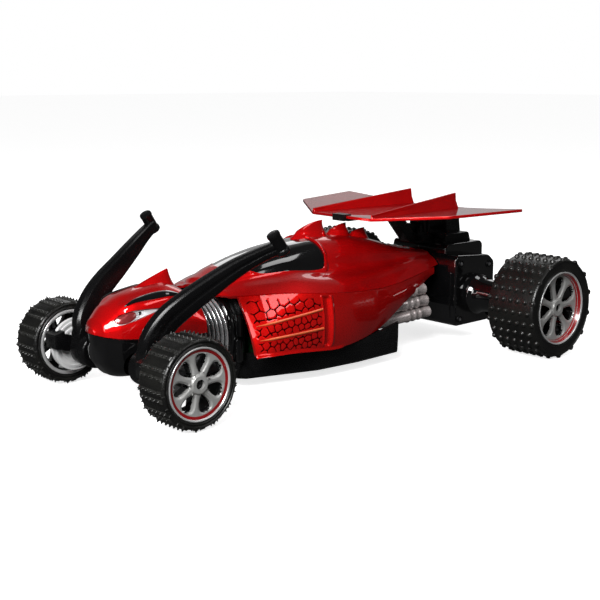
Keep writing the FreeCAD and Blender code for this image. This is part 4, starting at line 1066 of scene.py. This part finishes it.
def head_bulge(x, y, z):
    """How far the brow swells out above the eye socket."""
    along = smoothstep(182.0, 170.0, x) * smoothstep(132.0, 142.0, x)
    d = z - (70.8 + (168.0 - x) * 0.10)
    return 2.0 * along * math.exp(-(d / 3.2) ** 2) * smoothstep(6.0, 14.0, abs(y))


def head_middle(x):
    """Height in the head from which its skin swells outwards."""
    seam, top = row_at(HEAD_RIBS, x)[2:]
    return seam + (top - seam) * 0.3


def pushed(y, z, middle, push):
    out = Vector((0.0, y, z - middle)).normalized()
    return y + out.y * push, z + out.z * push


def head_surface(name, finish, lift=0.0):
    lines = []
    for x in stations(HEAD_RIBS, 12):
        middle = head_middle(x)
        lines.append([(x, *pushed(y, z, middle, lift + head_bulge(x, y, z)))
                      for y, z in rib_line(HEAD_RIBS, head_half, x, 12)])
    return skin(name, lines, finish, "head", 1, True)


def head_top_z(x, y):
    return height_on(rib_line(HEAD_RIBS, head_half, x, 8), y)


def head_y(x, z, side, push):
    """Side surface of the head at a height, as y."""
    line = smooth_path(head_half(row_at(HEAD_RIBS, x)), 10)
    for (ya, za), (yb, zb) in zip(line, line[1:]):
        if za <= z <= zb:
            y = ya + (yb - ya) * (z - za) / max(zb - za, 1e-6)
            return side * (y + head_bulge(x, y, z) * 0.8 + push)
    return side * line[-1][0]


def build_head():
    outline = smooth_path(EYE_CORNERS, 6, True)
    hood = head_surface("head_hood", "body_red")
    for side, _ in SIDES:
        cut(hood, outline, "y", *span(side, 8, 44))
    sharpen(hood, 38.0)
    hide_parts("head_shell")
    for side, label in SIDES:
        build_eye(side, label, outline)
        build_brow(side, label)
    fin("head_crest", "head", ((156.0, 78.6), (142.0, 84.6), (127.0, 89.4)),
        ((117.6, 72.6), (124.0, 79.5), (125.8, 88.6)), 9.6, head_top_z)
    build_jaw()


def build_eye(side, label, outline):
    """Deep white reflector, dark red iris at the front, small pupil dot and a clear cover."""
    back = head_surface(label + "_eye_reflector", "reflector", -1.5)
    pane = head_surface(label + "_eye_cover", "lens_clear", -0.31)
    for o, margin in ((back, 1.0), (pane, -0.15)):
        cut(o, grown(outline, margin), "y", *span(side, 8, 44), "INTERSECT")
        sharpen(o, 40.0)
    eye_oval(label + "_eye_iris", side, (172.6, 63.0), (7.0, 3.3), "iris_red", 0.7, -0.30)
    eye_oval(label + "_eye_pupil", side, (163.2, 65.4), (1.3, 1.1), "black_gloss", 0.5, -0.26)
    if side > 0:
        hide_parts("eye_reflectors")
        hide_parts("eye_lenses")


def eye_oval(name, side, centre, radii, finish, bulge, sink):
    """A domed oval laid on the head's flank."""
    rings = []
    for share in (1.0, 0.9, 0.7, 0.45, 0.2, 0.03):
        push = -1.25 + bulge * math.sqrt(1 - min(share, 0.999) ** 2) + sink
        ring = []
        for a in turns(32):
            x = centre[0] + radii[0] * share * math.cos(a)
            z = centre[1] + radii[1] * share * math.sin(a) - (x - centre[0]) * 0.28
            ring.append((x, head_y(x, z, side, push), z))
        rings.append(ring)
    base = [(x, y - side * 0.8, z) for x, y, z in rings[0]]
    add_piece(name, tube([base] + rings), finish, "head", 50.0)


def build_brow(side, label):
    """Glossy crescent inlay that follows the brow above the eye."""
    section = ((-1.0, -0.8), (-1.0, 0.35), (-0.7, 0.75), (0.0, 0.95), (0.7, 0.75), (1.0, 0.35), (1.0, -0.8))
    steps = 44
    rings = []
    for i in range(steps + 1):
        t = i / steps
        x = 172.5 - 44.5 * t
        middle = head_middle(x)
        wide = 0.15 + 6.4 * math.sin(math.pi * t) ** 0.75 * (0.60 + 0.45 * t)
        low_y = 13.2 + 15.0 * t - 7.5 * t * t
        ring = []
        for s, up in section:
            y = low_y - wide * 0.5 + wide * 0.5 * s
            z = head_top_z(x, y)
            y, z = pushed(y, z, middle, head_bulge(x, y, z) + up)
            ring.append((x, side * y, z))
        rings.append(ring)
    o = add_piece(label + "_brow_inlay", tube(rings), "black_gloss", "head", 60.0)
    if side > 0:
        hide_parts("brow_trims")


def build_jaw():
    """Cup below the seam, with a swollen lip and a round passage for the axle."""
    lines = []
    for x in stations(JAW_RIBS, 12):
        seam = row_at(JAW_RIBS, x)[2]
        line = []
        for y, z in rib_line(JAW_RIBS, jaw_half, x, 10):
            lip = 0.9 * math.exp(-((seam - z) / 1.3) ** 2)
            line.append((x, y + math.copysign(lip, y) if abs(y) > 3 else y, z - 0.25))
        lines.append(line)
    o = skin("jaw_cup", lines, "black_gloss", "head", -1, True)
    cx, _, cz = node_box("left_front_tyre")[2]
    cut(o, [(cx + 9.0 * math.cos(a), cz + 9.0 * math.sin(a)) for a in turns(40)], "y", -40.0, 40.0)
    sharpen(o, 38.0)
    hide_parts("jaw_shell")


# ---- neck, arms, wing and running gear

def round_box(node):
    """Low x, high x, axis height and radius of a node that is round about a line along X."""
    low, high, centre = node_box(node)
    return low[0], high[0], centre[2], (high[2] - low[2]) / 2


def build_neck():
    """Bright rounded rings stepping down a dark cone, ahead of a gloss collar."""
    x0, x1, z, big = round_box("neck_rings")
    small = 21.0
    count = 7
    pitch = (x1 - x0) / (count - 0.2)
    core = [(x0 + 0.1, big - 5.4), (x0 + 0.1, big - 4.4), (x1 - 0.2, small - 1.9), (x1 - 0.2, small - 2.9)]
    sleeve = add_piece("neck_sleeve", lathe(core, 96, along_x(z)), "black_satin", "chassis")
    shape = ([], [])
    for i in range(count):
        r = big + (small - big) * i / (count - 1)
        x = x0 + 0.3 + pitch * i
        w = pitch * 0.42
        ring = [(x, r - 3.2), (x, r - 0.4), (x + w * 0.35, r), (x + w, r - 0.5), (x + w, r - 3.2)]
        lathe(rounded(ring, 0.35, 3), 120, along_x(z - 3.5 * (1 - i / (count - 1))), shape)
    add_piece("neck_bright_rings", shape, "chrome_plate", "chassis")
    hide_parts("neck_rings")
    build_collar(z)
    for side, label in SIDES:
        for dz, level in ((-11.0, "_low"), (7.0, "_high")):
            shape = ([], [])
            y = side * 37.0
            rod(shape, (92.0, y, z + dz - 8.0), (92.0, y, z + dz + 8.0), 2.6, 20)
            add_piece("cheek_post_" + label + level, shape, "black_gloss", "chassis")


def build_collar(z):
    x0, x1, _, r = round_box("neck_collar")
    profile = rounded([
        (x0, r - 4.6), (x0, r - 0.5), (x0 + 2.4, r), (x0 + 3.0, r - 0.5), (x0 + 3.5, r - 0.5),
        (x0 + 4.1, r - 0.1), (x1 - 1.0, r - 1.2), (x1, r - 2.4), (x1, r - 4.6),
    ], 0.4, 3)
    o = add_piece("neck_collar_gloss", lathe(profile, 120, along_x(z - 2.5)), "black_gloss", "chassis")
    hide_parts("neck_collar")


def build_bellows():
    """Soft grey folds under the tail of the shell, narrowing rearwards to the gearbox."""
    x0, x1, z, big = round_box("rear_bellows")
    small = 19.0
    count = 8
    pitch = (x1 - x0) / count
    line = []
    for i in range(count):
        r = big + (small - big) * i / (count - 1)
        for k in range(8):
            s = k / 8
            fold = (0.5 - 0.5 * math.cos(2 * math.pi * s)) ** 0.7
            line.append((x1 - pitch * (i + s), r - 2.6 + 2.4 * fold))
    line.append((x0, small - 2.6))
    profile = line + [(u, r - 1.6) for u, r in reversed(line)]
    o = add_piece("rear_bellows_rubber", lathe(profile, 96, along_x(z)), "grey_bellows", "chassis", 60.0)
    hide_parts("rear_bellows")


def build_exhausts():
    """Three stacked pipes a side, each with raised bands and a rolled mouth."""
    for side, label in SIDES:
        shape = ([], [])
        for i in range(3):
            front = (-27.0, side * 36.2, 28.5 + 10.6 * i)
            rear = (-112.0 + 3.0 * i, side * 32.6, 30.0 + 9.8 * i)
            pipe(shape, front, rear)
        o = add_piece(label + "_exhaust_pipes", shape, "pipe_chrome", "chassis")
        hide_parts(label + "_exhaust")


def pipe(shape, a, b):
    place, length = along_line(a, b)
    r = 4.6
    profile = [(0.0, 0.5), (0.0, r - 0.6), (0.6, r)]
    for back in (27.0, 20.0, 13.0):
        c = length - back
        profile += [(c - 1.8, r), (c - 1.1, r + 0.5), (c, r + 0.75), (c + 1.1, r + 0.5), (c + 1.8, r)]
    profile += [
        (length - 2.2, r), (length - 1.6, r + 0.4), (length - 0.4, r + 0.3), (length, r - 0.3),
        (length - 0.2, r - 1.1), (length - 12.0, r - 1.2), (length - 12.0, 0.5),
    ]
    lathe(profile, 36, place, shape)


def arm_ring(row, side):
    """Section of the arm across its path, with a shallow channel along the outer face."""
    x, z, y, width, depth, angle = row
    nx = math.sin(math.radians(angle))
    nz = -math.cos(math.radians(angle))
    h = width / 2
    d = depth / 2
    c = 0.22 * depth
    section = rounded([
        (h - 0.4, d - c), (h - c, d - 0.3), (h * 0.25, d), (h * 0.18, d - 0.45), (-h * 0.05, d - 0.45),
        (-h * 0.12, d), (-h + c, d - 0.3), (-h + 0.2, d - c), (-h + 0.2, -d + c), (-h + c, -d), (h - c, -d),
        (h - 0.4, -d + c),
    ], 0.5, 2)
    return [(x + s * nx, side * (y + t), z + s * nz) for s, t in section]


def build_arms():
    rows = smooth_path(ARM_RIBS, 10)
    cx, _, cz = node_box("left_front_tyre")[2]
    hub = rounded([
        (27.6, 5.0), (27.6, 11.6), (28.4, 12.5), (45.0, 12.5),
        (46.0, 11.5), (46.0, 8.4), (47.4, 8.0), (47.4, 4.0),
    ], 0.5, 3)
    root = rounded([
        (cx - 10.2, 34.0), (cx + 10.8, 34.0), (cx + 10.6, 43.5),
        (cx + 8.6, 48.0), (cx - 6.5, 50.0), (cx - 8.5, 44.0),
    ], 1.6, 3)
    for side, label in SIDES:
        blade = tube([arm_ring(row, side) for row in rows])
        o = add_piece(label + "_arm_blade", blade, "black_satin", "flip_arms", 35.0)
        add_piece(label + "_arm_hub", lathe(hub, 64, along_y(cx, cz, side)), "black_satin", "flip_arms")
        prism(label + "_arm_root", root, "y", span(side, 34.8, 45.6), "black_satin", "flip_arms", 0.9)
        tip_bar(label, side)
        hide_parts(label + "_arm")


def tip_bar(label, side):
    """Cross bar at the arm's tip, with flanged ends."""
    place, length = along_line((93.2, side * 74.0, 118.4), (83.7, side * 75.5, 104.0))
    profile = [
        (0.0, 0.3), (0.0, 3.6), (0.5, 4.6), (2.2, 4.8), (2.9, 4.5), (3.3, 4.4), (length - 4.4, 4.5),
        (length - 4.0, 4.8), (length - 3.4, 5.2), (length - 1.2, 5.2), (length - 0.2, 4.3), (length, 0.3),
    ]
    add_piece(label + "_arm_tip_bar", lathe(profile, 40, place), "black_satin", "flip_arms", 35.0)


def build_wing():
    """Bent plate with a rolled edge, and two upright fins."""
    plate = bent_plate("wing_plate", rounded(mirrored(WING_HALF), 2.2, 3))
    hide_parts("wing")
    for side, label in SIDES:
        wing_fin(side, label)


def bent_plate(name, outline):
    """Flat outline split into strips and bent up towards the tips."""
    mesh = bpy.data.meshes.new(name)
    bm = bmesh.new()
    bm.faces.new([bm.verts.new((x * MM, y * MM, 0.0)) for x, y in outline])
    for y in (-66.0, -50.0, -33.0, -16.0, 0.0, 16.0, 33.0, 50.0, 66.0):
        everything = bm.verts[:] + bm.edges[:] + bm.faces[:]
        bmesh.ops.bisect_plane(bm, geom=everything, plane_co=(0, y * MM, 0), plane_no=(0, 1, 0))
    for v in bm.verts:
        v.co.z = (WING_Z + max(0.0, abs(v.co.y / MM) - WING_FLAT) * WING_RISE) * MM
    bmesh.ops.recalc_face_normals(bm, faces=bm.faces)
    bm.to_mesh(mesh)
    bm.free()
    o = new_object(name, mesh)
    mesh.materials.append(MATS["body_red"])
    thicken(o, WING_THICK, 2)
    bevel(o, 0.55, 3, 40.0)
    bake(o)
    sharpen(o, 10.0)
    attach(o, "rear_pod")
    return o


def wing_fin(side, label):
    """Fin that rises rearwards from a low front end to a tall cut end."""
    steps = 26
    low = WING_Z - 1.0
    rings = []
    for i in range(steps + 1):
        t = i / steps
        mid = WING_FLAT - 7.9 * t
        rise = 2.8 + 9.6 * t
        inner = 1.5 + 3.0 * t
        outer = 1.5 + 2.6 * t
        section = (
            (mid - inner, low), (mid - inner * 0.96, WING_Z + 0.15),
            (mid - inner * 0.45, WING_Z + 0.1 + rise * 0.42), (mid - 0.9, WING_Z - 0.3 + rise),
            (mid, WING_Z + rise), (mid + 0.9, WING_Z - 0.3 + rise),
            (mid + outer * 0.35, WING_Z + 0.1 + rise * 0.45),
            (mid + outer, WING_Z + 0.15), (mid + outer, low),
        )
        rings.append([(-44.0 - 109.0 * t, side * y, z) for y, z in section])
    o = add_piece(label + "_wing_fin", tube(rings), "body_red", "rear_pod", 28.0)
    bevel(o, 0.3, 2, 40.0)


def build_gearbox():
    """Stepped gearbox casing in two halves, the axle housings and the bearing nose of the roll joint."""
    cx, _, cz = node_box("left_rear_tyre")[2]
    main = [(-133, 18), (-136, 15), (-180, 15), (-184, 20), (-184, 66), (-177, 72), (-136, 75), (-133, 72)]
    tier = [(-137, 62), (-184, 62), (-186, 65), (-186, 79), (-183, 82), (-139, 82), (-137, 79)]
    tower = [(-146, 81), (-182, 81), (-179, 89), (-150, 89)]
    steps = (
        ("_case_main", rounded(main, 2.5, 3), 45.0, "black_gloss", 1.8),
        ("_case_tier", rounded(tier, 1.5, 2), 30.0, "black_gloss", 1.0),
        ("_case_tower", rounded(tower, 1.5, 2), 20.0, "black_satin", 0.8),
    )
    housing = rounded([
        (44.0, 3.0), (44.0, 17.0), (51.0, 17.0), (54.0, 15.2),
        (58.0, 14.0), (84.0, 11.0), (87.0, 9.6), (87.0, 3.0),
    ], 0.9, 3)
    for side, label in SIDES:
        cases = [prism(label + name, outline, "y", span(side, 0.15, reach), finish, "rear_pod", edge)
                 for name, outline, reach, finish, edge in steps]
        tube_shape = lathe(housing, 64, along_y(cx, cz, side))
        add_piece(label + "_axle_housing", tube_shape, "black_gloss", "rear_pod")
        case_details(side, label)
        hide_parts(label + "_gearbox_case")
    nose = rounded([
        (-139.0, 2.0), (-139.0, 10.0), (-101.0, 10.0), (-100.4, 9.4),
        (-100.4, 6.2), (-110.0, 6.2), (-110.0, 2.0),
    ], 0.4, 2)
    add_piece("roll_bearing_nose", lathe(nose, 64, along_x(ROLL_AXIS_Z)), "black_satin", "rear_pod")


def case_details(side, label):
    """Screw bosses with screws on the outer face of one case half, and a rib down its front."""
    boss = [(44.0, 0.6), (44.0, 3.2), (46.2, 3.0), (46.4, 2.2), (45.6, 2.1), (45.6, 0.6)]
    screw = [(45.0, 0.2), (45.0, 1.9), (45.9, 1.7), (46.1, 1.2), (46.1, 0.6), (45.7, 0.5), (45.7, 0.2)]
    kinds = (("_case_bosses", boss, 24, "black_satin"), ("_case_screws", screw, 20, "steel"))
    for name, profile, steps, finish in kinds:
        shape = ([], [])
        for x, z in ((-139.0, 21.0), (-178.0, 22.0), (-139.0, 68.0), (-176.0, 64.0)):
            lathe(profile, steps, along_y(x, z, side), shape)
        add_piece(label + name, shape, finish, "rear_pod")
    rib = [(-134.0, 20.0), (-132.4, 22.0), (-132.4, 60.0), (-134.0, 62.0)]
    prism(label + "_case_rib", rib, "y", span(side, 38.5, 40.0), "black_gloss", "rear_pod", 0.4)


# ---- camera, floor and light

def aim(o, target):
    o.rotation_mode = "QUATERNION"
    o.rotation_quaternion = (Vector(target) - o.location).to_track_quat("-Z", "Y")


def add_camera():
    low, high = FIRST_BOUNDS
    centre = Vector(((low.x + high.x) / 2 + AIM_AHEAD, 0.0, low.z + AIM_HEIGHT))
    level = math.cos(CAMERA_ELEVATION)
    offset = Vector((
        math.cos(CAMERA_AZIMUTH) * level, math.sin(CAMERA_AZIMUTH) * level, math.sin(CAMERA_ELEVATION)))
    data = bpy.data.cameras.new("camera")
    data.lens = CAMERA_LENS
    data.sensor_width = 36.0
    data.clip_start = 0.05
    data.clip_end = 50.0
    camera = new_object("camera", data)
    camera.location = centre + offset * CAMERA_DISTANCE
    aim(camera, centre)
    bpy.context.scene.camera = camera


def add_area(name, place, target, width, height, power):
    data = bpy.data.lights.new(name, "AREA")
    data.shape = "RECTANGLE"
    data.size = width
    data.size_y = height
    data.energy = power
    lamp = new_object(name, data)
    lamp.location = place
    aim(lamp, target)


def floor_material():
    """Matt white that glows for the camera; dark in reflections, with hardly any bounce light."""
    m, tree, bsdf = new_material("floor_white")
    rays = add_node(tree, "LightPath", {}).outputs
    grain = noise(tree, 20.0)
    wire(bsdf, {
        "Base Color": mixed(tree, grain, grey(0.88), grey(0.90)),
        "Roughness": mapped(tree, grain, 0.85, 0.95),
        "Specular IOR Level": 0.1,
        "Emission Color": (1, 1, 1, 1),
        "Emission Strength": mapped(tree, rays["Is Camera Ray"], 0.0, 0.76, 0.0, 1.0),
    })
    dark = add_node(tree, "Emission", {"Color": (0.05, 0.05, 0.05, 1)}).outputs["Emission"]
    bounced = combined(tree, "ADD", rays["Is Glossy Ray"], rays["Is Diffuse Ray"])
    choose = add_node(tree, "MixShader", {"Fac": bounced, 1: bsdf.outputs["BSDF"], 2: dark})
    wire(tree.nodes["Material Output"], {"Surface": choose.outputs["Shader"]})
    return m


def add_floor():
    mesh = bpy.data.meshes.new("floor")
    half = 12.0
    corners = [(-half, -half, 0), (half, -half, 0), (half, half, 0), (-half, half, 0)]
    mesh.from_pydata(corners, [], [(0, 1, 2, 3)])
    floor = new_object("floor", mesh)
    mesh.materials.append(floor_material())


def add_world():
    """White backdrop for the camera; in reflections only the side behind the object is bright."""
    world = bpy.data.worlds.new("studio")
    world.use_nodes = True
    tree = world.node_tree
    rays = add_node(tree, "LightPath", {}).outputs
    where = add_node(tree, "TexCoord", {}).outputs["Generated"]
    backwards = (-math.cos(CAMERA_AZIMUTH), -math.sin(CAMERA_AZIMUTH), 0.0)
    away = add_node(tree, "VectorMath", {0: where, 1: backwards}, operation="DOT_PRODUCT").outputs["Value"]
    sweep = mapped(tree, away, 0.03, 0.45, 0.66, 0.95)
    ambient = add_node(tree, "Mix", {"Factor": rays["Is Glossy Ray"], "A": 0.24, "B": sweep})
    ends = {"A": ambient.outputs["Result"], "B": 1.0}
    seen = add_node(tree, "Mix", {"Factor": rays["Is Camera Ray"], **ends})
    wire(tree.nodes["Background"], {"Color": (1, 1, 1, 1), "Strength": seen.outputs["Result"]})
    bpy.context.scene.world = world


def add_lights():
    add_area("key", (0.92, 0.52, 0.72), (0.06, 0.0, 0.05), 0.6, 0.4, 20.0)
    add_area("top_box", (-0.55, 0.1, 1.2), (0.0, 0.0, 0.05), 0.5, 0.35, 1.6)
    add_area("side_strip", (-0.25, 1.25, 0.92), (0.0, 0.0, 0.06), 0.45, 0.5, 2.6)
    add_area("front_strip", (1.3, 0.1, 0.5), (0.1, 0.0, 0.05), 0.22, 0.6, 4.0)
    add_area("back_sweep", (-1.3, -1.2, 1.0), (0.0, 0.0, 0.08), 1.6, 0.5, 4.0)


def finish_cad():
    """Materials and shading by angle for the CAD nodes, some of which stay in view."""
    slots = {s["node"]: s["material_slot"] for s in frame["record"]["subparts"]}
    special = {
        "front_hub_screws": "screw_dark", "rear_hub_screws": "screw_dark",
        "left_brake_disc": "disc_grey", "right_brake_disc": "disc_grey",
    }
    for node, o in frame["nodes"].items():
        o.data.materials.clear()
        o.data.materials.append(MATS[special.get(node, slots[node])])
        sharpen(o, 30.0)


finish_cad()
build_wheels()
build_body()
build_engine()
build_pods()
build_head()
build_neck()
build_bellows()
build_exhausts()
build_arms()
build_wing()
build_gearbox()
add_camera()
add_floor()
add_world()
add_lights()
bpy.context.scene.view_settings.view_transform = "Standard"
